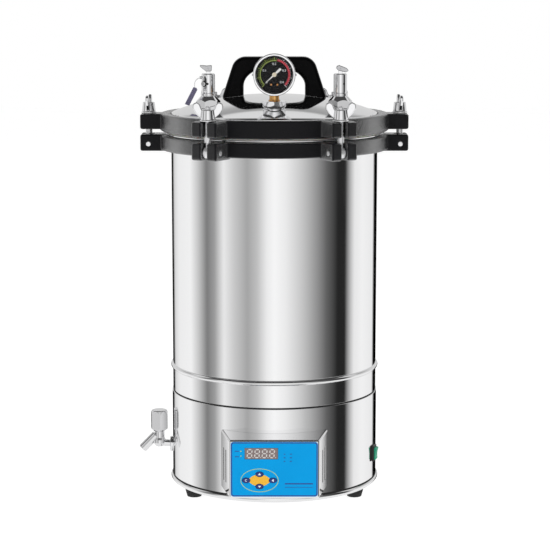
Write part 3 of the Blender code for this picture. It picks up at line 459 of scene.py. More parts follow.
def phenolic():
    look = new_look("phenolic", (0.0012, 0.0012, 0.0014), 0.3, Specular_IOR_Level=0.06, Coat_Roughness=0.14)
    vary_roughness(look, 140.0, 0.22, 0.36)
    add_bump(look, noise(look, 60.0, 2.0), 0.0001)
    coat_by_angle(look, 0.35, 0.95)
    return look


# Black rubber for the feet and washer; the same look colours the seam ring, the groove ring and the valve
# outlet plugs, which are painted shade.
def rubber_and_shade():
    look = new_look("rubber_and_shade", (0.013, 0.013, 0.013), 0.8)
    vary_roughness(look, 200.0, 0.65, 0.9)
    add_bump(look, noise(look, 1500.0, 3.0), 0.0001)
    return look


def silicone():
    look = new_look("silicone", (0.72, 0.70, 0.66), 0.5, Subsurface_Weight=0.2, Subsurface_Scale=0.002)
    vary_colour(look, 70.0, (0.74, 0.72, 0.68), (0.66, 0.64, 0.60))
    vary_roughness(look, 110.0, 0.42, 0.6)
    return look


def printed_film():
    """Back-printed polyester film: even azure with a very fine texture."""
    look = new_look("blue_film", (0.0, 0.30, 0.68), 0.4, Specular_IOR_Level=0.08)
    vary_colour(look, 45.0, (0.0, 0.295, 0.67), (0.0, 0.31, 0.70))
    vary_roughness(look, 800.0, 0.28, 0.40)
    add_bump(look, noise(look, 2600.0, 2.0), 0.00002)
    return look


def ink(name, colour):
    """A printed mark, slightly uneven in its density."""
    look = new_look(name, colour, 0.4)
    deeper = tuple(c * 0.88 for c in colour)
    vary_colour(look, 500.0, colour, deeper)
    vary_roughness(look, 900.0, 0.32, 0.48)
    return look


def clear_glass():
    """A flat pane: see-through, with a reflection that grows towards its edges."""
    look = bpy.data.materials.new("clear_glass")
    look.use_nodes = True
    tree = look.node_tree
    tree.nodes.remove(tree.nodes["Principled BSDF"])
    clear = node(look, "ShaderNodeBsdfTransparent")
    gloss = node(look, "ShaderNodeBsdfGlossy", Roughness=0.02)
    edge = node(look, "ShaderNodeFresnel", IOR=1.18)
    blend = node(look, "ShaderNodeMixShader")
    join_nodes(look, edge.outputs["Fac"], blend.inputs["Fac"])
    join_nodes(look, clear.outputs["BSDF"], blend.inputs[1])
    join_nodes(look, gloss.outputs["BSDF"], blend.inputs[2])
    join_nodes(look, blend.outputs["Shader"], tree.nodes["Material Output"].inputs["Surface"])
    return look


def moulded(name, colour, roughness, **sockets):
    """Moulded plastic with a fine spark-eroded grain."""
    look = new_look(name, colour, roughness, **sockets)
    vary_roughness(look, 350.0, roughness * 0.8, roughness * 1.25)
    add_bump(look, noise(look, 1800.0, 3.0), 0.00003)
    return look


def brass():
    look = new_look("brass", (0.80, 0.45, 0.16), 0.2, 1.0)
    vary_roughness(look, 200.0, 0.14, 0.3)
    return look


def strip_print():
    """The tag's woven-looking print, dark on a purple grey."""
    look = new_look("grey_tag", (0.13, 0.12, 0.16), 0.5)
    place = node(look, "ShaderNodeTexCoord")
    weave = node(look, "ShaderNodeTexVoronoi", Scale=900.0)
    mix = node(look, "ShaderNodeMix")
    mix.data_type = "RGBA"
    mix.inputs[6].default_value = (0.022, 0.020, 0.040, 1)
    mix.inputs[7].default_value = (0.13, 0.12, 0.20, 1)
    join_nodes(look, place.outputs["Object"], weave.inputs["Vector"])
    join_nodes(look, spread(look, weave.outputs["Distance"], 0, 1, 0.1, 0.6), mix.inputs[0])
    join_nodes(look, mix.outputs[2], look.node_tree.nodes["Principled BSDF"].inputs["Base Color"])
    vary_roughness(look, 500.0, 0.35, 0.6)
    return look


MIRROR = mirror_steel()
SATIN = satin_steel()
CHROME = chrome()
WRINKLE = wrinkle_paint()
PHENOLIC = phenolic()
RUBBER_AND_SHADE = rubber_and_shade()
SILICONE = silicone()
FILM = printed_film()
GLASS = clear_glass()
BRASS = brass()
TAG = strip_print()
ZINC = zinc_plate("zinc_plate", 0.90, 0.30, 0.75)
TAP_METAL = zinc_plate("tap_metal", 0.84, 0.10, 1.0)
LEVER_METAL = zinc_plate("lever_metal", 0.55, 0.16, 1.0)
# Black moulded plastic for the switch and the gland; the same look fills the vent slots as painted shade.
BLACK_PLASTIC_AND_SHADE = moulded("black_plastic", (0.012, 0.012, 0.012), 0.38)
GREEN_PLASTIC = moulded("green_rocker", (0.006, 0.36, 0.20), 0.3)
NAVY = moulded("navy_key", (0.004, 0.018, 0.16), 0.28)
SMOKED = moulded("smoked_display", (0.20, 0.155, 0.15), 0.2, Specular_IOR_Level=0.3)
NEEDLE_WHITE = moulded("needle_white", (0.86, 0.86, 0.84), 0.4)
HUB_CREAM = moulded("hub_cream", (0.80, 0.72, 0.55), 0.35)
DIAL_BLACK = moulded("dial_black", (0.004, 0.004, 0.005), 0.5, Specular_IOR_Level=0.1)
INK_WHITE = ink("ink_white", (0.86, 0.88, 0.90))
INK_GREEN = ink("ink_green", (0.46, 0.60, 0.10))
INK_RED = ink("ink_red", (0.62, 0.035, 0.06))
INK_ORANGE = ink("ink_orange", (0.85, 0.33, 0.05))
INK_EDGE = ink("ink_edge", (0.003, 0.055, 0.28))
SEGMENT = ink("segment", (0.62, 0.59, 0.57))
INK_GOLD = ink("ink_gold", (0.86, 0.46, 0.02))


# ---------------------------------------------------------------- vessel and base
def lid_height(radius):
    """Height of the lid's outer surface."""
    return LID_TOP - LID_DROP * (radius / LID_SHOULDER_R) ** LID_CURVE


def make_vessel():
    inside = [(0, CHAMBER_FLOOR), (CHAMBER_R, CHAMBER_FLOOR, 0.006), (CHAMBER_R, RIM_TOP, 0.0012)]
    rim = [(RIM_R, RIM_TOP, 0.0010), (RIM_R, RIM_BOTTOM, 0.0010), (BARREL_R, RIM_BOTTOM, 0.0010)]
    bulge = arc((BARREL_R, BEAD_Z), (BEAD_R - BARREL_R, 0.0030), 90, -90, 12)
    top = (BARREL_R - 0.0004, BEAD_Z + 0.0036)
    bottom = (BARREL_R - 0.0004, BEAD_Z - 0.0036)
    bead = [(BARREL_R, BEAD_Z + 0.0044), top] + bulge + [bottom, (BARREL_R, BEAD_Z - 0.0044)]
    skirt_inner_r = 0.1497
    spigot_r = 0.1513
    spigot_bottom = 0.140
    skirt = [
        (BARREL_R, SKIRT_BOTTOM, 0.0003), (spigot_r, SKIRT_BOTTOM), (spigot_r, spigot_bottom),
        (skirt_inner_r, spigot_bottom), (skirt_inner_r, CHAMBER_FLOOR - FLOOR_THICKNESS, 0.001),
        (0, CHAMBER_FLOOR - FLOOR_THICKNESS),
    ]
    vessel = lathe("vessel_shell", rounded(inside + rim + bead + skirt, closed=False))
    drain = rod("drain_cutter", (-0.110, 0, 0.17), (-0.110, 0, 0.19), 0.004, steps=SMALL)
    holes = [drain]
    for side in (-1, 1):
        angle = math.radians(12 * side)
        x = 0.1 * math.cos(angle)
        y = 0.1 * math.sin(angle)
        holes.append(rod(f"heater_cutter_{side}", (x, y, 0.17), (x, y, 0.19), 0.0051, steps=SMALL))
    show(cut(vessel, *holes), MIRROR, "base", "vessel", slot="mirror_steel")


def make_base():
    inner = 0.1518
    bulge = arc((JACKET_R, 0.0178), (BASE_RIM_R - JACKET_R, 0.0030), 90, -75, 12)
    profile = [
        (inner, JACKET_TOP), (JACKET_R, JACKET_TOP, 0.0009), (JACKET_R, 0.0216),
        (JACKET_R - 0.0003, 0.0210),
    ]
    profile += bulge + [(JACKET_R, JACKET_BOTTOM), (inner, JACKET_BOTTOM)]
    jacket = lathe("base_jacket_shell", rounded(profile), closed=True)
    cutters = [
        box("wiring_cutter", (-0.045, -0.17, 0.045), (0.045, -0.12, 0.100)),
        rod("tap_cutter", (-0.17, 0, TAP_Z), (-0.13, 0, TAP_Z), 0.0086),
        rod("gland_cutter", (0, 0.13, 0.045), (0, 0.17, 0.045), 0.0068),
        moved(box("switch_cutter", (-0.02, -0.0079, -0.0110), (0.01, 0.0079, 0.0110)), switch_frame()),
    ]
    show(cut(jacket, *cutters), MIRROR, "base", "base_jacket", slot="mirror_steel")

    # A thin black ring filling the seam between the barrel's skirt and the jacket: painted shade that stands in
    # for the dark of the gap.
    seam_shade = lathe("seam_shade_ring", rounded([
        (0.1514, JACKET_TOP + 0.0001), (0.1519, JACKET_TOP + 0.0001), (0.1519, SKIRT_BOTTOM - 0.0001),
        (0.1514, SKIRT_BOTTOM - 0.0001),
    ]), closed=True)
    show(seam_shade, RUBBER_AND_SHADE, "base")

    # A thin black ring in the groove above the jacket's foot bead: painted shade that stands in for the dark
    # line of the groove.
    rim_shade = lathe("rim_shade_ring", rounded([
        (JACKET_R - 0.0002, 0.0209), (JACKET_R + 0.0006, 0.0209, 0.0003),
        (JACKET_R + 0.0006, 0.0226, 0.0003),
        (JACKET_R - 0.0002, 0.0226),
    ]), closed=True)
    show(rim_shade, RUBBER_AND_SHADE, "base")

    low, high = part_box("base_plate")
    plate = lathe("base_plate_disc", rounded([
        (0, low.z), (high.x, low.z, 0.0006), (high.x, high.z, 0.0006), (0, high.z),
    ], closed=False), MEDIUM * 2)
    vents = 8
    holes = []
    for i in range(vents):
        angle = math.tau * (i + 0.5) / vents
        x = 0.085 * math.cos(angle)
        y = 0.085 * math.sin(angle)
        holes.append(rod(f"vent_cutter_{i}", (x, y, 0), (x, y, 0.03), 0.007, steps=SMALL))
    show(cut(plate, *holes), SATIN, "base", "base_plate", slot="satin_steel")

    for name in ("foot_front_left", "foot_front_right", "foot_rear"):
        low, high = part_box(name)
        middle = (low + high) / 2
        top_r = (high.x - low.x) / 2
        profile = rounded([
            (0, 0), (0.0105, 0, 0.0010), (top_r - 0.0003, 0.0095, 0.004), (top_r, high.z, 0.0008),
            (0, high.z),
        ], closed=False)
        foot = lathe(f"{name}_pad", profile, MEDIUM)
        moved(foot, Matrix.Translation((middle.x, middle.y, 0)))
        show(foot, RUBBER_AND_SHADE, "base", name, slot="black_rubber")


def make_chamber():
    ring = []
    for i in range(33):
        angle = math.radians(18 + 324 * i / 32)
        ring.append((0.1 * math.cos(angle), 0.1 * math.sin(angle), 0.193))
    leg = math.radians(12)
    x = 0.1 * math.cos(leg)
    y = 0.1 * math.sin(leg)
    start = [(x, y, 0.160), (x, y, 0.172), (x, y, 0.183), (x - 0.0005, y + 0.002, 0.190)]
    path = start + ring + [(px, -py, pz) for px, py, pz in reversed(start)]
    show(wire("heater_loop", path, 0.0045, 6), SATIN, "base", "heater_element", slot="satin_steel")

    grid = lathe("support_grid_plate", rounded([
        (0, 0.2), (0.146, 0.2, 0.0006), (0.146, 0.202, 0.0006), (0, 0.202),
    ], closed=False), MEDIUM * 2)
    holes = []
    hole_r = 0.0045
    for ring_r, count in ((0.022, 5), (0.045, 10), (0.068, 15), (0.091, 20), (0.112, 25)):
        for i in range(count):
            angle = math.tau * i / count
            place = (ring_r * math.cos(angle), ring_r * math.sin(angle))
            holes.append(rod(f"grid_cutter_{count}_{i}", (*place, 0.19), (*place, 0.21), hole_r, steps=24))
    cutter = merged("grid_cutter", holes)
    grid = cut(grid, cutter)
    legs = []
    for i in range(3):
        angle = math.tau * (i + 0.25) / 3
        place = (0.128 * math.cos(angle), 0.128 * math.sin(angle))
        legs.append(rod(f"grid_leg_{i}", (*place, 0.1813), (*place, 0.2005), 0.005, 0.0008, 24))
    show(union(grid, *legs), SATIN, "base", "support_grid", slot="satin_steel")


def merged(name, pieces):
    """One object from several that don't touch."""
    shape = bmesh.new()
    for piece in pieces:
        shape.from_mesh(piece.data)
        bpy.data.objects.remove(piece, do_unlink=True)
    mesh = bpy.data.meshes.new(name)
    shape.to_mesh(mesh)
    shape.free()
    return add(name, mesh)


def make_bucket():
    low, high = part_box("bucket")
    radius = 0.138
    wall = 0.0012
    lip_r = high.x
    profile = [
        (0, low.z + wall), (radius - wall, low.z + wall, 0.004), (radius - wall, high.z - 0.002, 0.001),
        (radius + 0.001, high.z, 0.0008), (lip_r, high.z - 0.0004, 0.0012), (lip_r, high.z - 0.003, 0.0012),
        (radius, high.z - 0.003, 0.0004), (radius, low.z, 0.005), (0, low.z),
    ]
    bucket = lathe("bucket_shell", rounded(profile, closed=False))
    bail_z = 0.485
    hole = rod("bail_cutter", (-0.16, 0, bail_z), (0.16, 0, bail_z), 0.0034, steps=SMALL)
    show(cut(bucket, hole), SATIN, "bucket", "bucket", slot="satin_steel")

    bow = [(x, y, bail_z) for x, y in arc((0, 0), (0.145, 0.145), 4, 176, 40)]
    path = [(0.1340, 0, bail_z), (0.1400, 0, bail_z), (0.1440, 0.0035, bail_z)] + bow[1:-1]
    path += [(-0.1440, 0.0035, bail_z), (-0.1400, 0, bail_z), (-0.1340, 0, bail_z)]
    show(wire("bail_wire", path, 0.0025, 6), SATIN, "bail", "bucket_bail", slot="satin_steel")


# ---------------------------------------------------------------- flanges and lid
def round_the_rim(number):
    return Matrix.Rotation(math.tau * number / CLAMP_COUNT, 4, "Z")


def make_flange(name, node_name, body, profile, lug_outline, slots):
    """A cast ring with six slotted lugs; slots makes the cutters of one lug."""
    pieces = [lathe(name, rounded(profile), closed=True)]
    for i in range(CLAMP_COUNT):
        lug = solid(f"{name}_lug_{i}", rounded(lug_outline), LUG_WIDTH, 0.0020, UPRIGHT)
        pieces.append(moved(cut(lug, *slots(i)), round_the_rim(i)))
    casting = cast(merged(name, pieces), 0.0009, 4)
    show(casting, WRINKLE, body, node_name, slot="black_enamel", sharp=75)


def make_flanges():
    low, high = LOWER_FLANGE_Z
    profile = [
        (0.1524, high), (FLANGE_R, high, 0.0022), (FLANGE_R, low, 0.0022), (0.1524, low),
    ]
    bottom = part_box("lower_flange")[0].z
    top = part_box("lower_flange")[1].z
    outline = [
        (0.156, bottom, 0.003), (LUG_FACE, bottom, 0.003), (LUG_FACE, top, 0.003), (0.158, top, 0.003),
    ]

    def lower_slots(i):
        pin = rod(
            f"pin_cutter_{i}", (PIN_RING_R, -0.03, PIN_Z), (PIN_RING_R, 0.03, PIN_Z), 0.0040, steps=SMALL,
        )
        slot = box(f"slot_cutter_{i}", (0.1767, -LUG_SLOT / 2, 0.50), (0.21, LUG_SLOT / 2, 0.54))
        return slot, pin

    make_flange("lower_flange_casting", "lower_flange", "base", profile, outline, lower_slots)

    low, high = UPPER_FLANGE_Z
    profile = [
        (0.1532, high - 0.0004, 0.0008), (0.1622, high - 0.0004, 0.0004), (0.1628, high, 0.0005),
        (FLANGE_R, high - 0.0002, 0.0028), (FLANGE_R, low, 0.0015), (0.1606, low),
        (0.1606, 0.5400), (0.1532, 0.5400),
    ]
    bottom = 0.5405
    crown_r = 0.5632 - PIN_Z
    end = math.degrees(math.acos((LUG_FACE - PIN_RING_R) / crown_r))
    outline = [(0.162, bottom, 0.003), (LUG_FACE, bottom, 0.003)]
    outline += arc((PIN_RING_R, PIN_Z), (crown_r, crown_r), end, 90, 8)
    outline += [(0.162, 0.5632, 0.003)]

    def upper_slots(i):
        half = LUG_SLOT / 2
        slot = arc((0.1848, 0), (half, half), 90, 270, 16) + [(0.21, -half), (0.21, half)]
        return [solid(f"upper_slot_cutter_{i}", slot, 0.04, stand=Matrix.Translation((0, 0, 0.552)))]

    make_flange("upper_flange_casting", "upper_flange", "lid", profile, outline, upper_slots)


def fitting_place(name):
    """Where the gauge or a valve stands on the lid."""
    side = {"gauge": 0, "safety": -1, "release": 1}[name]
    angle = math.radians(VALVE_ANGLE * side)
    return FITTING_RING_R * math.sin(angle), -FITTING_RING_R * math.cos(angle)


def make_lid():
    steps = 40
    radii = [LID_SHOULDER_R * i / steps for i in range(steps + 1)]
    low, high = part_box("lid_dome")
    skirt_r = 0.1526
    inner_r = 0.1508
    rim_top = low.z + 0.0017
    outer = [(r, lid_height(r)) for r in radii]
    shoulder = [(0.1515, 0.5640), (skirt_r, 0.5605)]
    rim = [
        (skirt_r, rim_top, 0.0008), (high.x, rim_top, 0.0006), (high.x, low.z, 0.0006),
        (inner_r, low.z, 0.0006),
    ]
    inner = [(inner_r, 0.5600), (0.1496, 0.5628)]
    inner += [(r, lid_height(r) - LID_WALL) for r in reversed(radii[:-1])]
    lid = lathe("lid_shell", rounded(outer + shoulder + rim + inner, closed=False))
    holes = []
    for name in ("gauge", "safety", "release"):
        x, y = fitting_place(name)
        holes.append(rod(f"{name}_cutter", (x, y, 0.55), (x, y, 0.60), 0.0053, steps=SMALL))
    show(cut(lid, *holes), MIRROR, "lid", "lid_dome", slot="mirror_steel")

    low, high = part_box("gasket")
    inner_r = 0.1509
    ring = lathe("gasket_ring", rounded([
        (inner_r, low.z, 0.0005), (high.x, low.z, 0.0005), (high.x, high.z, 0.0005),
        (inner_r, high.z, 0.0005),
    ]), closed=True)
    show(ring, SILICONE, "lid", "gasket", slot="silicone")


def dome_cutter(name):
    """A solid just proud of the lid, which shapes the foot of whatever stands on it."""
    radii = [LID_SHOULDER_R * i / 30 for i in range(31)]
    profile = [(r, lid_height(r) + 0.0004) for r in radii]
    profile += [(0.150, 0.5667), (0.150, 0.50), (0, 0.50)]
    return lathe(name, profile, 96)


def make_handle():
    low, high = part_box("lid_handle")
    foot_x = 0.0758
    right = [(foot_x + 0.0008, 0.5700), (foot_x, 0.5890, 0.010), (0.0572, high.z, 0.0210)]
    outside = right + [(-c[0], *c[1:]) for c in reversed(right)]
    arch = arc((0.0120, 0.6030), (0.0330, 0.0250), 0, 90, 14)
    inside = [(0.0450, 0.5700)] + arch
    inside = [(-x, z) for x, z in inside] + list(reversed(inside))
    handle = solid(
        "lid_handle_grip", rounded(outside + inside, steps=12), high.y - low.y, 0.0065, UPRIGHT, 6,
    )
    handle = cut(handle, dome_cutter("handle_foot_cutter"))
    show(handle, PHENOLIC, "lid", "lid_handle", slot="black_phenolic", sharp=50)


# ---------------------------------------------------------------- gauge
def gauge_frame():
    """Local z points out of the dial; the origin is on the back of the case."""
    x, y = fitting_place("gauge")
    return Matrix.Translation((x, y + GAUGE_DEPTH / 2, GAUGE_Z)) @ UPRIGHT


def hexagon(name, radius, low, high, profile, spin=0.0):
    """A hexagonal bar with its corners turned off to a profile."""
    nut = solid(
        name, regular(6, radius, spin), high - low, stand=Matrix.Translation((0, 0, (low + high) / 2)),
    )
    return combined(nut, [lathe(f"{name}_turning", rounded(profile, closed=False), 96)], "INTERSECT")


def make_gauge():
    x, y = fitting_place("gauge")
    base = Matrix.Translation((x, y, 0))
    nut_top = 0.5880
    turning = [
        (0, nut_top), (0.0185, nut_top, 0.0012), (0.0192, nut_top - 0.0012), (0.0192, 0.5835, 0.0010),
    ]
    turning += [(0.0127, 0.5770, 0.0015), (0.0125, 0.560), (0, 0.560)]
    nut = moved(hexagon("gauge_hexagon", 0.0190, 0.561, nut_top + 0.001, turning, 30), base)
    nut = cut(nut, dome_cutter("gauge_nut_cutter"))
    stub = rod("gauge_stub", (x, y, 0.5665), (x, y, 0.582), 0.0048, 0.0006, SMALL)
    nut = union(nut, stub)
    nut = cut(nut, rod("gauge_socket_cutter", (x, y, 0.5801), (x, y, 0.60), 0.0062, steps=SMALL))
    show(nut, CHROME, "lid", "gauge_nut", slot="chrome")

    bezel = rounded([
        (0, DIAL_Z - 0.0006), (DIAL_R, DIAL_Z - 0.0006), (DIAL_R, GAUGE_DEPTH - 0.0012, 0.0003),
        (DIAL_R + 0.0008, GAUGE_DEPTH, 0.0010), (GAUGE_R, GAUGE_DEPTH, 0.0020),
        (GAUGE_R, GAUGE_DEPTH - 0.0048, 0.0006),
        (GAUGE_R - 0.0010, GAUGE_DEPTH - 0.0056, 0.0004), (GAUGE_R - 0.0010, 0.0, 0.0035), (0, 0),
    ], closed=False)
    case = moved(lathe("gauge_body", bezel, 96), gauge_frame())
    bosses = []
    for side in (-1, 1):
        bosses.append(rod(f"gauge_screw_{side}", (x + side * 0.0275, y - 0.0095, GAUGE_Z),
                          (x + side * 0.0316, y - 0.0095, GAUGE_Z), 0.0016, 0.0004, 24))
    case = union(case, *bosses)
    show(case, CHROME, "lid", "gauge_case", slot="chrome")
    stem_profile = rounded([
        (0, 0.5804), (0.0055, 0.5804, 0.0005), (0.0055, nut_top + HAIR), (0.0085, nut_top + HAIR, 0.0006),
        (0.0085, 0.5895, 0.0006), (0.0069, 0.5902, 0.0004), (0.0069, 0.5985, 0.0010), (0, 0.5990),
    ], closed=False)
    show(moved(lathe("gauge_stem", stem_profile, MEDIUM), base), BRASS, "lid")

    dial = lathe("gauge_dial", rounded([
        (0, DIAL_Z - 0.0005), (DIAL_R - 0.0001, DIAL_Z - 0.0005), (DIAL_R - 0.0001, DIAL_Z, 0.0001),
        (0, DIAL_Z),
    ], closed=False), 96)
    show(moved(dial, gauge_frame()), DIAL_BLACK, "lid")
    make_dial_marks()

    lens_r = DIAL_R - HAIR
    lens = lathe("gauge_glass", rounded([
        (0, GAUGE_DEPTH - 0.0012), (lens_r, GAUGE_DEPTH - 0.0012, 0.0003),
        (lens_r, GAUGE_DEPTH - 0.0026, 0.0003), (0, GAUGE_DEPTH - 0.0026),
    ], closed=False), 96)
    show(moved(lens, gauge_frame()), GLASS, "lid", "gauge_lens", slot="clear_glass")

    outline = rounded([
        (0.0200, 0.0), (0.0040, 0.0009), (-0.0030, 0.0011), (-0.0052, 0.0017, 0.0006),
        (-0.0125, 0.0017, 0.0008),
        (-0.0125, -0.0017, 0.0008), (-0.0052, -0.0017, 0.0006), (-0.0030, -0.0011), (0.0040, -0.0009),
    ])
    aim = Matrix.Translation((0, 0, DIAL_Z + 0.0012)) @ Matrix.Rotation(math.radians(223), 4, "Z")
    needle = solid("needle_pointer", outline, 0.0006, 0.0001, gauge_frame() @ aim)
    show(needle, NEEDLE_WHITE, "needle", "gauge_needle", slot="white_enamel")
    hub = lathe("needle_hub", rounded([
        (0, DIAL_Z + 0.0004), (0.0032, DIAL_Z + 0.0004, 0.0002), (0.0032, DIAL_Z + 0.0022, 0.0006),
        (0, DIAL_Z + 0.0022),
    ], closed=False), SMALL)
    show(moved(hub, gauge_frame()), HUB_CREAM, "needle")


def mark(name, outline, look, place):
    """One printed mark, lifted a hair off the surface it's printed on."""
    return show(solid(name, outline, PRINT, stand=place), look, "lid")


def ring_sector(inner, outer, start, end, steps=48):
    return arc((0, 0), (outer, outer), start, end, steps) + arc((0, 0), (inner, inner), end, start, steps)


def make_dial_marks():
    """A pressure scale over 270 degrees, green up to the working limit and red past it."""
    place = gauge_frame() @ Matrix.Translation((0, 0, DIAL_Z + PRINT * 0.5))
    first = 225
    sweep = 270
    limit = 80
    mark("dial_green_band", ring_sector(0.0194, 0.0201, first, limit), INK_GREEN, place)
    mark("dial_red_band", ring_sector(0.0197, 0.0226, limit - 2, first - sweep + 2), INK_RED, place)
    divisions = 40
    green = []
    white = []
    for i in range(divisions + 1):
        angle = first - sweep * i / divisions
        long_tick = i % 5 == 0
        outer = 0.0246 if long_tick else 0.0232
        half = 0.00032 if long_tick else 0.00018
        outline = [(0.0198, -half), (outer, -half), (outer, half), (0.0198, half)]
        if angle < limit:
            outline = [(x + 0.0005, y) for x, y in outline]
        stand = place @ Matrix.Rotation(math.radians(angle), 4, "Z")
        (green if angle > limit else white).append(solid(f"tick_{i}", outline, PRINT, stand=stand))
    show(merged("dial_green_ticks", green), INK_GREEN, "lid")
    show(merged("dial_white_ticks", white), INK_WHITE, "lid")
    numbers = []
    for i, text in enumerate(("0", "0.1", "0.2", "0.3", "0.4")):
        angle = math.radians(first - sweep * i / 4)
        spot = Matrix.Translation((0.0150 * math.cos(angle), 0.0150 * math.sin(angle), 0))
        numbers.append(lettering(f"number_{i}", text, 0.0046, place @ spot))
    show(merged("dial_numbers", numbers), INK_WHITE, "lid")
    for side in (-1, 1):
        dot = place @ Matrix.Translation((side * 0.0044, -0.0140, 0))
        mark(f"dial_dot_{side + 2}", oval((0.0012, 0.0012), 24), INK_ORANGE, dot)


def lettering(name, text, size, place):
    """Numbers in the standard typeface, as thin solids centred on a place."""
    curve = bpy.data.curves.new(name, "FONT")
    curve.body = text
    curve.size = size
    curve.extrude = PRINT / 2
    curve.align_x = "CENTER"
    curve.align_y = "CENTER"
    return moved(tidied(applied(add(name, curve))), place)


# ---------------------------------------------------------------- valves
def make_valve(prefix, outlet_angle, side_fitting):
    x, y = fitting_place(prefix)
    base = Matrix.Translation((x, y, 0))
    top = 0.6240
    collar = 0.5960
    radius = 0.0097
    profile = [
        (0, top), (radius - 0.0010, top, 0.0006), (radius, top - 0.0012, 0.0004), (radius, collar + 0.0012),
        (radius - 0.0006, collar + 0.0008), (radius - 0.0006, collar), (HEX_TOP_R, collar - 0.0008, 0.0005),
        (HEX_TOP_R, HEX_TOP + 0.0010), (HEX_TOP_R - 0.0006, HEX_TOP + 0.0006),
        (HEX_TOP_R - 0.0006, HEX_EDGE),
        (0, HEX_EDGE),
    ]
    body = moved(lathe(f"{prefix}_valve_shell", rounded(profile, closed=False), MEDIUM), base)
    turning = [
        (0, HEX_TOP), (HEX_TOP_R, HEX_TOP, 0.0004), (HEX_R + HAIR, HEX_EDGE, 0.0008), (HEX_R + HAIR, 0.55),
    ]
    turning += [(0, 0.55)]
    nut = moved(hexagon(f"{prefix}_hexagon", HEX_R, 0.558, HEX_TOP + HAIR, turning, 15), base)
    nut = cut(nut, dome_cutter(f"{prefix}_foot_cutter"))
    post = box(
        f"{prefix}_post", (x - 0.0028, y - 0.0014, top - 0.001), (x + 0.0028, y + 0.0014, 0.6340), 0.0005,
    )
    stub = rod(f"{prefix}_stub", (x, y, 0.5665), (x, y, 0.584), 0.0048, 0.0006, SMALL)
    extra = [nut, post, stub]
    middle = Vector((x, y, OUTLET_Z))
    if side_fitting:
        aim = Vector((-0.57, -0.82, 0))
        extra.append(rod("side_boss", middle, middle + aim * 0.0130, 0.0036, 0.0006, SMALL))
        extra.append(
            rod("seal_post", (x, y, 0.6180), (x - 0.0125, y - 0.0020, 0.6180), 0.0020, 0.0006, SMALL)
        )
    body = union(body, *extra)
    angle = math.radians(outlet_angle)
    outwards = Vector((math.sin(angle), -math.cos(angle), 0))
    body = cut(
        body,
        rod(f"{prefix}_pin_cutter", (x, y - 0.01, LEVER_Z), (x, y + 0.01, LEVER_Z), 0.0014, steps=24),
        rod(
            f"{prefix}_outlet_cutter", middle + outwards * 0.004, middle + outwards * 0.02, 0.0017,
            steps=24,
        ),
    )
    show(body, CHROME, "lid", f"{prefix}_valve_body", slot="chrome")
    # A black plug just inside the valve's outlet bore: painted shade that stands in for the dark of the bore.
    outlet_shade = rod(
        f"{prefix}_outlet_shade_plug", middle + outwards * 0.0041, middle + outwards * 0.0088, 0.0016, 0.0004, 24,
    )
    show(outlet_shade, RUBBER_AND_SHADE, "lid")
    if side_fitting:
        lip = bar(
            "side_boss_washer", middle + aim * 0.0100, middle + aim * 0.0110,
            [(0.0044, 0), (0.0044, 0.0010)],
        )
        show(cut(lip, rod("washer_bore", middle, middle + aim * 0.02, 0.0037, steps=SMALL)), RUBBER_AND_SHADE, "lid")


def make_lever(prefix, outline, direction, tilt):
    x, y = fitting_place(prefix)
    if direction < 0:
        outline = [(-c[0], *c[1:]) for c in reversed(outline)]
    lean = Matrix.Rotation(math.radians(-tilt * direction), 4, "Y")
    place = Matrix.Translation((x, y, LEVER_Z))
    lever = solid(f"{prefix}_lever_arm", rounded(outline), 0.0072, 0.0009, lean @ UPRIGHT)
    slot = moved(box(f"{prefix}_slot_cutter", (-0.0078, -0.0018, -0.010), (0.0078, 0.0018, 0.010)), lean)
    lever = cut(lever, slot)
    pin = rod(f"{prefix}_lever_pin", (0, -0.0042, 0), (0, 0.0042, 0), 0.0010, 0.0003, 24)
    lever = moved(union(lever, pin), place)
    show(lever, LEVER_METAL, f"{prefix}_lever", f"{prefix}_valve_lever", slot="chrome")


def make_levers():
    blade = [
        (-0.0050, -0.0036, 0.0012), (0.0030, -0.0042, 0.002), (0.0075, -0.0012, 0.002),
        (0.0122, 0.0022, 0.0008),
        (0.0120, 0.0042, 0.0008), (0.0030, 0.0040, 0.002), (-0.0050, 0.0052, 0.0012),
    ]
    make_lever("safety", blade, direction=-1, tilt=4)
    leaf = [
        (-0.0060, -0.0010, 0.0010), (-0.0025, -0.0034, 0.002), (0.0090, -0.0032, 0.003),
        (0.0125, 0.0, 0.0012),
        (0.0090, 0.0028, 0.003), (-0.0030, 0.0044, 0.002), (-0.0060, 0.0020, 0.0010),
    ]
    make_lever("release", leaf, direction=1, tilt=-14)


def make_seal_tag():
    top = Vector((-0.1130, -0.0590, 0.6040))
    bottom = Vector((-0.1262, -0.0590, 0.5785))
    along = top - bottom
    lean = math.atan2(along.x, along.z)
    half_w = 0.0034
    half_l = along.length / 2
    outline = rounded([
        (-half_w, -half_l, 0.0005), (half_w, -half_l + 0.001, 0.0005), (half_w, half_l - 0.002, 0.0012),
        (half_w * 0.3, half_l, 0.0008), (-half_w, half_l - 0.001, 0.0008),
    ])
    stand = Matrix.Translation((top + bottom) / 2) @ Matrix.Rotation(lean, 4, "Y") @ UPRIGHT
    tag = solid("seal_tag_strip", outline, 0.0010, 0.0003, stand)
    show(tag, TAG, "lid", "seal_tag", slot="grey_tag")
    loop = [
        (-0.1134, -0.0590, 0.6010), (-0.1150, -0.0592, 0.6070), (-0.1140, -0.0592, 0.6125),
        (-0.1110, -0.0590, 0.6160), (-0.1086, -0.0570, 0.6175),
    ]
    show(wire("seal_wire", loop, 0.00045), CHROME, "lid")


# ---------------------------------------------------------------- clamps
def clamp_frame(number):
    """x outwards, y round the rim, origin on the hinge pin's axis."""
    return round_the_rim(number) @ Matrix.Translation((PIN_RING_R, 0, PIN_Z))


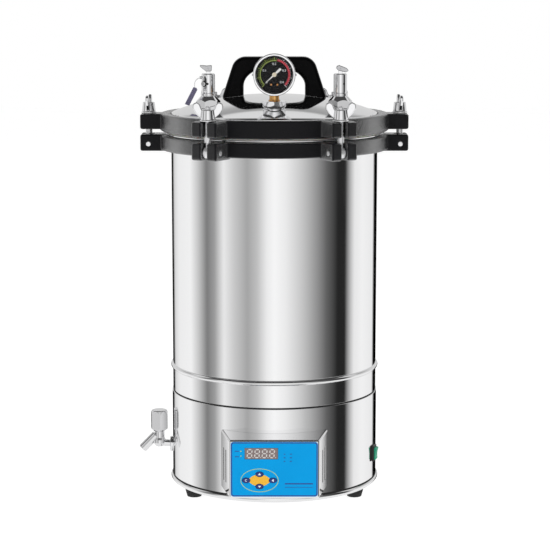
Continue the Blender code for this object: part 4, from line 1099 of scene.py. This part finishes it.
def make_clamps():
    low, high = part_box("swing_bolt_1")
    shank_top = high.z - PIN_Z
    thread_r = 0.0040
    collar = (0.014, 0.024)
    pitch = 0.00125
    profile = [(0, 0.0050), (0.0034, 0.0050), (0.0034, collar[0], 0.0006), (0.0049, collar[0], 0.0006)]
    profile += [(0.0049, collar[1], 0.0006), (thread_r, collar[1] + 0.0002)]
    z = collar[1] + 0.0006
    while z < shank_top - 0.0014:
        profile += [(thread_r, z), (thread_r, z + pitch * 0.25), (thread_r - 0.00055, z + pitch * 0.6)]
        z += pitch
    profile += [(thread_r, shank_top - 0.0010), (thread_r - 0.0009, shank_top), (0, shank_top)]
    shank = lathe("bolt_template", rounded(profile, closed=False, steps=3), 32)
    eye = rod("eye_template", (0, -0.00425, 0), (0, 0.00425, 0), 0.00775, 0.0009, SMALL)
    bore = rod("bore_template", (0, -0.02, 0), (0, 0.02, 0), 0.0040, steps=SMALL)
    bolt = cut(union(shank, eye), bore)

    half = 0.021
    pin = rod("pin_template", (0, -half, 0), (0, half, 0), 0.0035, 0.0006, SMALL)

    washer = lathe("washer_template", rounded([
        (0.0046, 0.0445), (0.01125, 0.0445, 0.0003), (0.01125, 0.0460, 0.0004), (0.0046, 0.0460),
    ]), MEDIUM, closed=True)

    nut_low = 0.0463
    height = 0.0140
    hub = lathe("nut_template", rounded([
        (0.0046, 0), (0.0100, 0, 0.0004), (0.0100, 0.0015, 0.0006), (0.0085, height, 0.0010),
        (0.0046, height),
    ]), MEDIUM, closed=True)
    wing = [
        (0.0062, 0.0010), (0.0098, 0.0010, 0.001), (WING_TIP - 0.0042, 0.0095, 0.006),
        (WING_TIP, 0.0165, 0.006),
        (WING_TIP - 0.0013, 0.0225, 0.004), (0.0150, WING_TOP, 0.003), (0.0110, 0.0215, 0.003),
        (0.0085, 0.0150, 0.004), (0.0062, height - 0.0015),
    ]
    wings = []
    for side in (-1, 1):
        outline = wing if side > 0 else [(-c[0], *c[1:]) for c in reversed(wing)]
        stand = Matrix.Rotation(math.radians(90), 4, "Z") @ UPRIGHT
        wings.append(solid(f"wing_template_{side}", rounded(outline), 0.0050, 0.0018, stand))
    nut = cast(union(hub, *wings), 0.0004, 6)
    moved(nut, Matrix.Translation((0, 0, nut_low)))

    for number in range(CLAMP_COUNT):
        i = number + 1
        for template, name, body, node_name, angle in (
            (pin, "hinge_pin", "base", f"hinge_pin_{i}", 35),
            (bolt, "swing_bolt", f"bolt_{i}", f"swing_bolt_{i}", 35),
            (washer, "clamp_washer", f"washer_{i}", f"clamp_washer_{i}", 35),
            (nut, "wing_nut", f"nut_{i}", f"wing_nut_{i}", 75),
        ):
            piece = add(f"{name}_part_{i}", template.data)
            spin = NUT_SPINS[number] if name == "wing_nut" else 0
            piece.matrix_world = clamp_frame(number) @ Matrix.Rotation(math.radians(spin), 4, "Z")
            look = CHROME if name == "wing_nut" else ZINC
            show(piece, look, body, node_name, slot="chrome", sharp=angle)
    for template in (pin, bolt, washer, nut):
        bpy.data.objects.remove(template, do_unlink=True)


# ---------------------------------------------------------------- control box
def frustum(name, inset, rear_y, edge=0.0):
    """The tapered box, drawn in by a wall's thickness and carried back to rear_y."""
    front = (0.064, 0.0280, 0.1128)
    rear = (0.077, 0.0310, 0.1170)
    front_y = PANEL_Y + inset
    shape = bmesh.new()
    bmesh.ops.create_cube(shape, size=1.0)
    for vertex in shape.verts:
        y = front_y if vertex.co.y < 0 else rear_y
        share = (y - PANEL_Y) / (-0.132 - PANEL_Y)
        half, low, high = [a + (b - a) * share for a, b in zip(front, rear)]
        z = high - inset if vertex.co.z > 0 else low + inset
        vertex.co = (math.copysign(half - inset, vertex.co.x), y, z)
    if edge:
        bmesh.ops.bevel(shape, geom=shape.edges[:], offset=edge, segments=6, profile=0.5, affect="EDGES")
    mesh = bpy.data.meshes.new(name)
    shape.to_mesh(mesh)
    shape.free()
    return add(name, mesh)


def on_panel(x, z, depth=0.0):
    """Local x and y of an outline laid on the panel, at a depth behind the film's face."""
    return Matrix.Translation((x, PANEL_Y - HAIR - 0.0008 + depth, z)) @ UPRIGHT


KEYPAD = (-0.0210, 0.0550)
KEYS = {"up": (0, 0.0090), "down": (0, -0.0090), "cycle": (-0.0190, 0), "shift": (0.0190, 0)}
DISPLAY = (-0.0184, 0.0940)
DISPLAY_SIZE = (0.0470, 0.0160)
VENT_Y = (-0.1480, -0.1620)


def panel_cutters(prefix):
    x, z = DISPLAY
    half_w = DISPLAY_SIZE[0] / 2 + HAIR
    half_h = DISPLAY_SIZE[1] / 2 + HAIR
    low = (x - half_w, PANEL_Y - 0.01, z - half_h)
    high = (x + half_w, PANEL_Y + 0.01, z + half_h)
    made = [box(f"{prefix}_window", low, high)]
    for name, (dx, dz) in KEYS.items():
        stand = on_panel(KEYPAD[0] + dx, KEYPAD[1] + dz)
        made.append(solid(f"{prefix}_{name}", oval((0.0060, 0.0041)), 0.02, stand=stand))
    return made


def make_control_box():
    shell = frustum("control_box_shell", 0, -0.105, 0.0030)
    hollow = frustum("control_hollow", 0.0012, -0.100)
    barrel = lathe("jacket_cutter", [(0, 0.2), (JACKET_R + HAIR, 0.2), (JACKET_R + HAIR, 0), (0, 0)])
    shell = cut(shell, hollow, barrel)
    vents = []
    for i, y in enumerate(VENT_Y):
        vents.append(box(f"vent_{i}", (-0.1, y - 0.0034, 0.046), (0.1, y + 0.0034, 0.094)))
    shell = cut(shell, *vents, *panel_cutters("plate"))
    show(shell, MIRROR, "base", "control_box", slot="mirror_steel")
    # Black fills just behind the side vent slots: painted shade that stands in for the dark inside the box.
    vent_shade = cut(frustum("vent_shade_fills", 0.0002, -0.135), frustum("vent_shade_hollow", 0.0030, -0.130))
    slots = []
    for i, y in enumerate(VENT_Y):
        for side, left in (("left", -0.1), ("right", 0.058)):
            slots.append(
                box(f"vent_shade_{side}_{i}", (left, y - 0.0033, 0.0461), (left + 0.042, y + 0.0033, 0.0939))
            )
    vent_shade = combined(vent_shade, [merged("vent_shade_slots", slots)], "INTERSECT")
    show(vent_shade, BLACK_PLASTIC_AND_SHADE, "base")

    half_w = 0.062
    half_h = 0.040
    corner = 0.0042
    square = [(half_w, -half_h), (half_w, half_h), (-half_w, half_h), (-half_w, -half_h)]
    outline = rounded([(x, z, corner) for x, z in square], steps=8)
    overlay = solid("overlay_film", outline, 0.0008, 0.0002, on_panel(0, 0.071, 0.0004))
    show(cut(overlay, *panel_cutters("film")), FILM, "base", "control_overlay", slot="blue_film")
    make_panel_print(half_w, half_h)
    make_display()
    make_keys()


def frame_band(name, outer, inner, look, x, z):
    """A printed band between two outlines with the same number of points."""
    shape = solid(name, outer, PRINT, stand=on_panel(x, z))
    hole = solid(f"{name}_cutter", inner, PRINT * 6, stand=on_panel(x, z))
    return show(cut(shape, hole), look, "base")


def make_panel_print(half_w, half_h):
    """The film's border line, the ring round the keypad and the lens at its middle."""
    def border(inset, corner):
        w = half_w - inset
        h = half_h - inset
        return rounded([(w, -h, corner), (w, h, corner), (-w, h, corner), (-w, -h, corner)], steps=8)

    frame_band("film_border", border(0.0006, 0.0038), border(0.0022, 0.0026), INK_EDGE, 0, 0.071)
    frame_band("keypad_ring", oval((0.0270, 0.0172), 72), oval((0.0262, 0.0164), 72), INK_GREEN, *KEYPAD)
    x, z = KEYPAD
    lens = solid("keypad_lens", arc((0, -0.0115), (0.0202, 0.0202), 35, 145, 24)
                 + arc((0, 0.0115), (0.0202, 0.0202), 215, 325, 24), PRINT, stand=on_panel(x, z))
    show(cut(lens, *panel_cutters("lens")), INK_GOLD, "base")
    marks = []
    for row in range(4):
        for column, wide in ((0.0145, 0.0022), (0.0235, 0.0030)):
            if row:
                place = on_panel(column, 0.0985 - row * 0.0052)
                marks.append(box(f"lamp_label_{row}", (-wide / 2, -0.0006, 0), (wide / 2, 0.0006, PRINT)))
                moved(marks[-1], place)
    for row, dz in enumerate((0.0035, -0.0045)):
        marks.append(moved(box(f"left_label_{row}", (-0.0030, -0.0006, 0), (0.0030, 0.0006, PRINT)),
                           on_panel(-0.0530, DISPLAY[1] + dz)))
    for row, (wide, tall) in enumerate(((0.0400, 0.0018), (0.0400, 0.0006))):
        marks.append(moved(box(f"rule_{row}", (-wide / 2, -tall / 2, 0), (wide / 2, tall / 2, PRINT)),
                           on_panel(0.0350, 0.0500 - row * 0.0052)))
    show(merged("film_marks", marks), INK_EDGE, "base")


def make_display():
    x, z = DISPLAY
    w, h = DISPLAY_SIZE
    face = PANEL_Y - 0.0009
    window = box("display_lens", (x - w / 2, face, z - h / 2), (x + w / 2, PANEL_Y + 0.0100, z + h / 2), 0.0003)
    show(window, SMOKED, "base", "display_window", slot="smoked_display")
    digits = []
    tall = 0.0116
    wide = 0.0062
    line = 0.0017
    slant = 0.08
    bars = [(0, tall / 2, 0), (0, 0, 0), (0, -tall / 2, 0)]
    bars += [(sx * wide / 2, sz * tall / 4, 90) for sx in (-1, 1) for sz in (-1, 1)]
    lean = Matrix.Identity(4)
    lean[0][1] = slant
    for i in range(4):
        centre = x - 0.0166 + i * 0.0106
        for k, (bx, bz, turn) in enumerate(bars):
            length = (tall / 2 if turn else wide) - line * 0.9
            half = length / 2
            outline = [(-half, 0), (-half + line / 2, line / 2), (half - line / 2, line / 2), (half, 0),
                       (half - line / 2, -line / 2), (-half + line / 2, -line / 2)]
            spot = lean @ Matrix.Translation((bx, bz, 0)) @ Matrix.Rotation(math.radians(turn), 4, "Z")
            place = Matrix.Translation((centre, face - PRINT / 2, z)) @ UPRIGHT @ spot
            digits.append(solid(f"segment_{i}_{k}", outline, PRINT, stand=place))
        corner = (centre + wide / 2 + 0.0017, face - PRINT / 2, z - tall / 2)
        point = Matrix.Translation(corner) @ UPRIGHT
        digits.append(solid(f"point_{i}", oval((0.0007, 0.0007), 16), PRINT, stand=point))
    show(merged("display_digits", digits), SEGMENT, "base")
    for k, dz in enumerate((0.0035, -0.0035)):
        outline = [(0, -0.0001), (0.0009, -0.0001), (0.0009, 0.0004, 0.0003), (0, 0.0006)]
        lamp = lathe(f"lamp_{k + 1}", rounded(outline, closed=False), 32)
        show(moved(lamp, on_panel(x - w / 2 - 0.0055, z + dz)), INK_GREEN, "base")


def make_keys():
    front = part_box("button_up")[0].y + PRINT
    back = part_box("button_up")[1].y
    arrow = [(-0.0022, -0.0012), (0.0022, -0.0012), (0, 0.0018)]
    hook = ring_sector(0.0011, 0.0017, 40, 320, 24)
    icons = {"up": (arrow, 0), "down": (arrow, 180), "shift": (arrow, 90), "cycle": (hook, 0)}
    for name, (dx, dz) in KEYS.items():
        x = KEYPAD[0] + dx
        z = KEYPAD[1] + dz
        stand = Matrix.Translation((x, (front + back) / 2, z)) @ UPRIGHT
        key = solid(f"key_{name}_cap", oval((0.0054, 0.0038)), back - front, 0.0005, stand)
        show(key, NAVY, f"key_{name}", f"button_{name}", slot="navy_key")
        outline, turn = icons[name]
        place = Matrix.Translation((x, front - PRINT * 0.4, z)) @ UPRIGHT
        place = place @ Matrix.Rotation(math.radians(turn), 4, "Z")
        icon = solid(f"key_{name}_icon", outline, PRINT, stand=place)
        show(icon, INK_WHITE, f"key_{name}")


# ---------------------------------------------------------------- tap, switch, gland
def make_tap():
    flange_start = -JACKET_R - 2 * HAIR
    flange = bar("tap_shell", (flange_start, 0, TAP_Z), (-0.2, 0, TAP_Z),
                 rounded([(0, 0), (0.0115, 0), (0.0115, 0.0037, 0.0012), (0, 0.0037)], closed=False)[1:-1])
    shank = rod("tap_shank", (-0.1560, 0, TAP_Z), (-0.1400, 0, TAP_Z), 0.0080, 0.0006)
    pipe = rod("tap_pipe", (-0.1490, 0, TAP_Z), (TAP_X, 0, TAP_Z + 0.0020), 0.0052)
    stem = lathe("tap_stem", rounded([
        (0, 0.0585), (0.0060, 0.0590, 0.003), (0.0090, 0.0640, 0.004), (0.0090, 0.0690, 0.003),
        (0.00725, 0.0730, 0.002),
        (0.00725, 0.0822, 0.0008), (0.0040, 0.0822), (0.0040, 0.0950, 0.0005), (0, 0.0950),
    ], closed=False), MEDIUM)
    moved(stem, Matrix.Translation((TAP_X, 0, 0)))
    start = Vector((-0.1790, 0, 0.0763))
    tip = Vector((-0.1994, 0, 0.0553))
    spout = rod("tap_spout", start, tip, 0.0068, 0.0008)
    along = (tip - start).normalized()
    drain = wire("drain_pipe", [
        (-0.1450, 0, TAP_Z), (-0.1300, 0, TAP_Z), (-0.1190, 0, TAP_Z + 0.0020),
        (-0.1120, 0, TAP_Z + 0.0080),
        (-0.1100, 0, TAP_Z + 0.0180), (-0.1100, 0, 0.12), (-0.1100, 0, 0.1767),
    ], 0.0050, 6)
    tap = union(flange, shank, pipe, stem, spout, drain)
    mouth = rod("mouth_cutter", tip - along * 0.004, tip + along * 0.01, 0.0052)
    show(cut(tap, mouth), TAP_METAL, "base", "tap_body", slot="chrome")

    low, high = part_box("tap_knob")
    height = high.z - low.z
    place = Matrix.Translation((TAP_X, 0, low.z))
    radius = 0.0138
    knob = solid(
        "tap_knob_cap", regular(6, radius, 38), height, stand=Matrix.Translation((0, 0, height / 2)),
    )
    profile = rounded([
        (0, 0), (0.0086, 0, 0.001), (0.0142, 0.0052, 0.002), (0.0142, height - 0.0080, 0.002),
        (0.0112, height, 0.0015), (0, height + 0.0001),
    ], closed=False)
    knob = combined(knob, [lathe("knob_turning", profile, 96)], "INTERSECT")
    knob = cut(knob, rod("knob_bore", (0, 0, -0.01), (0, 0, 0.0130), 0.0046))
    knob.modifiers.new("Soft edges", "BEVEL").width = 0.0014
    knob.modifiers["Soft edges"].segments = 4
    knob.modifiers["Soft edges"].limit_method = "ANGLE"
    show(moved(applied(knob), place), TAP_METAL, "knob", "tap_knob", slot="chrome")


def switch_frame():
    """Local x points out of the jacket; the origin is on its surface."""
    turn = Matrix.Rotation(math.radians(SWITCH_ANGLE), 4, "Z")
    return turn @ Matrix.Translation((JACKET_R, 0, SWITCH_Z))


def make_switch():
    bezel = box("switch_frame", (0.0006, -0.00875, -0.0118), (0.0034, 0.00875, 0.0118), 0.0008)
    housing = box("switch_housing", (-0.0200, -0.0076, -0.0107), (0.0020, 0.0076, 0.0107), 0.0005)
    pocket = box("switch_pocket", (-0.0120, -0.0068, -0.0100), (0.02, 0.0068, 0.0100))
    bezel = moved(cut(union(bezel, housing), pocket), switch_frame())
    show(bezel, BLACK_PLASTIC_AND_SHADE, "base", "switch_bezel", slot="black_plastic")

    half_h = 0.0092
    outline = rounded([
        (-0.0040, -half_h * 0.75, 0.0005), (0.0034, -half_h, 0.0008), (0.0066, -half_h * 0.94, 0.0008),
        (0.0052, 0, 0.02), (0.0066, half_h * 0.94, 0.0008), (0.0034, half_h, 0.0008),
        (-0.0040, half_h * 0.75, 0.0005),
    ])
    lean = Matrix.Rotation(math.radians(5), 4, "Y")
    rocker = solid("rocker_cap", outline, 0.0128, 0.0006, switch_frame() @ lean @ UPRIGHT)
    show(rocker, GREEN_PLASTIC, "rocker", "switch_rocker", slot="green_rocker")
    stroke = [(-0.0004, -0.0017), (0.0004, -0.0017), (0.0004, 0.0017), (-0.0004, 0.0017)]
    loop = ring_sector(0.0012, 0.0018, 0, 359.9, 32)
    for name, z, shape in (("on", 0.0055, stroke), ("off", -0.0055, loop)):
        face = switch_frame() @ lean @ Matrix.Translation((0.0060, 0, z))
        face = face @ Matrix.Rotation(math.radians(90), 4, "Y") @ Matrix.Rotation(math.radians(90), 4, "Z")
        sign = solid(f"rocker_{name}_mark", shape, PRINT * 2, stand=face)
        show(sign, INK_WHITE, "rocker")


def make_power_gland():
    low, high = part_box("power_gland")
    z = (low.z + high.z) / 2
    wall = JACKET_R + 2 * HAIR
    lay = Matrix.Translation((0, 0, z)) @ Matrix.Rotation(math.radians(-90), 4, "X")
    end = wall + 0.0055
    turning = [
        (0, wall), (0.0111, wall), (0.0126, wall + 0.0008), (0.0126, end - 0.0008), (0.0111, end), (0, end),
    ]
    nut = moved(hexagon("gland_shell", 0.0125, wall - HAIR, end + HAIR, turning), lay)
    profile = rounded([
        (0, 0.1400), (0.0062, 0.1400, 0.0005), (0.0062, wall + 0.002), (0.0095, wall + 0.0040),
        (0.0095, 0.1665, 0.002), (0.0080, 0.1680, 0.001), (0.0058, high.y, 0.0008), (0, high.y),
    ], closed=False)
    dome = moved(lathe("gland_dome", profile, MEDIUM), lay)
    bore = rod("gland_bore", (0, 0.1780, z), (0, 0.2, z), 0.0036, steps=SMALL)
    show(cut(union(nut, dome), bore), BLACK_PLASTIC_AND_SHADE, "base", "power_gland", slot="black_plastic")


make_vessel()
make_base()
make_chamber()
make_bucket()
make_flanges()
make_lid()
make_handle()
make_gauge()
make_valve("safety", outlet_angle=-5, side_fitting=True)
make_valve("release", outlet_angle=33, side_fitting=False)
make_levers()
make_seal_tag()
make_clamps()
make_control_box()
make_tap()
make_switch()
make_power_gland()


# ---------------------------------------------------------------- studio
# How bright the room is round the object, below eye level: (azimuth from the front in
# degrees, positive to the object's right; brightness), from soft boxes and dark flags
SURROUND = [
    (-180, 0.0), (-158, 0.0), (-151, 0.70), (-135, 0.90), (-108, 0.95), (-94, 0.60), (-81, 0.21),
    (-70, 0.36), (-58, 0.88), (-45, 0.62), (-30, 0.40), (-19, 0.56), (-8, 0.90), (0, 1.0), (12, 0.90),
    (30, 0.62), (45, 0.36), (60, 0.13), (75, 0.02), (86, 0.02), (94, 0.52), (101, 0.86), (116, 0.95),
    (145, 0.86), (151, 0.0), (180, 0.0),
]
# The same behind the object and above eye level: (height of the direction from -1 to 1;
# brightness)
BACKDROP = [
    (-0.06, 0.70), (0.40, 0.66), (0.50, 0.42), (0.59, 0.33), (0.61, 0.72), (0.74, 0.75), (0.80, 0.06),
]
CANOPY = 0.06               # the dark cloth overhead, in front of the object
BENCH = 0.88                # the pale bench below


def make_studio():
    world = bpy.data.worlds.new("studio")
    bpy.context.scene.world = world
    world.use_nodes = True
    tree = world.node_tree
    tree.nodes.clear()

    def add_node(kind, **settings):
        made = tree.nodes.new(kind)
        for key, value in settings.items():
            setattr(made, key, value)
        return made

    def ramp_of(levels, value, lowest, highest):
        """Brightness looked up along a ramp of (value, brightness) stops."""
        share = add_node("ShaderNodeMapRange")
        share.inputs["From Min"].default_value = lowest
        share.inputs["From Max"].default_value = highest
        tree.links.new(value, share.inputs["Value"])
        ramp = add_node("ShaderNodeValToRGB")
        stops = ramp.color_ramp.elements
        while len(stops) > 1:
            stops.remove(stops[-1])
        for i, (place, level) in enumerate(levels):
            share_of = (place - lowest) / (highest - lowest)
            stop = stops[0] if i == 0 else stops.new(share_of)
            stop.position = share_of
            stop.color = (level, level, level, 1)
        tree.links.new(share.outputs["Result"], ramp.inputs["Fac"])
        return ramp.outputs["Color"]

    def between(value, low, high):
        step = add_node("ShaderNodeMapRange", interpolation_type="SMOOTHSTEP")
        step.inputs["From Min"].default_value = low
        step.inputs["From Max"].default_value = high
        tree.links.new(value, step.inputs["Value"])
        return step.outputs["Result"]

    def blended(first, second, share):
        """Second over first; each is a socket or a plain brightness."""
        mix = add_node("ShaderNodeMix", data_type="RGBA")
        for index, source in ((6, first), (7, second)):
            if isinstance(source, float):
                mix.inputs[index].default_value = (source, source, source, 1)
            else:
                tree.links.new(source, mix.inputs[index])
        tree.links.new(share, mix.inputs[0])
        return mix.outputs[2]

    place = add_node("ShaderNodeTexCoord")
    split = add_node("ShaderNodeSeparateXYZ")
    tree.links.new(place.outputs["Generated"], split.inputs["Vector"])
    back = add_node("ShaderNodeMath", operation="MULTIPLY")
    back.inputs[1].default_value = -1
    tree.links.new(split.outputs["Y"], back.inputs[0])
    azimuth = add_node("ShaderNodeMath", operation="ARCTAN2")
    tree.links.new(split.outputs["X"], azimuth.inputs[0])
    tree.links.new(back.outputs[0], azimuth.inputs[1])
    degrees = add_node("ShaderNodeMath", operation="DEGREES")
    tree.links.new(azimuth.outputs[0], degrees.inputs[0])
    level = ramp_of(SURROUND, degrees.outputs[0], -180, 180)
    behind = ramp_of(BACKDROP, split.outputs["Z"], -1, 1)
    canopy = blended(level, CANOPY, between(split.outputs["Z"], 0.42, 0.58))
    upper = blended(canopy, behind, between(split.outputs["Y"], 0.05, 0.30))
    room = blended(level, upper, between(split.outputs["Z"], -0.085, -0.065))
    room = blended(room, BENCH, between(split.outputs["Z"], -0.30, -0.42))
    seen = add_node("ShaderNodeLightPath")
    glow = add_node("ShaderNodeBackground")
    tree.links.new(blended(room, 1.0, seen.outputs["Is Camera Ray"]), glow.inputs["Color"])
    output = add_node("ShaderNodeOutputWorld")
    tree.links.new(glow.outputs["Background"], output.inputs["Surface"])


def make_floor():
    floor = lathe("floor", [(0, 0), (8.0, 0), (8.0, -0.01), (0, -0.01)], 96)
    look = new_look("pale_floor", (0.40, 0.40, 0.40), 0.9)
    shader = look.node_tree.nodes["Principled BSDF"]
    shader.inputs["Emission Color"].default_value = (1, 1, 1, 1)
    shader.inputs["Emission Strength"].default_value = 0.86
    floor.data.materials.append(look)
    floor.visible_glossy = False


def make_lights():
    for name, place, size, power in (
        ("key_light", (-1.6, -1.8, 2.4), 1.2, 48),
        ("fill_light", (1.9, -1.2, 2.0), 1.0, 30),
    ):
        light = bpy.data.lights.new(name, "AREA")
        light.size = size
        light.energy = power
        obj = add(name, light)
        obj.visible_glossy = False
        obj.location = place
        obj.rotation_euler = (Vector((0, 0, 0.4)) - Vector(place)).to_track_quat("-Z", "Y").to_euler()


def make_camera():
    camera = add("camera", bpy.data.cameras.new("camera"))
    camera.data.lens = 126.0
    camera.location = (0.001, -2.841, 0.7745)
    camera.rotation_euler = (math.radians(80.93), 0, 0)
    bpy.context.scene.camera = camera


make_studio()
make_floor()
make_lights()
make_camera()
bpy.context.scene.view_settings.view_transform = "Standard"
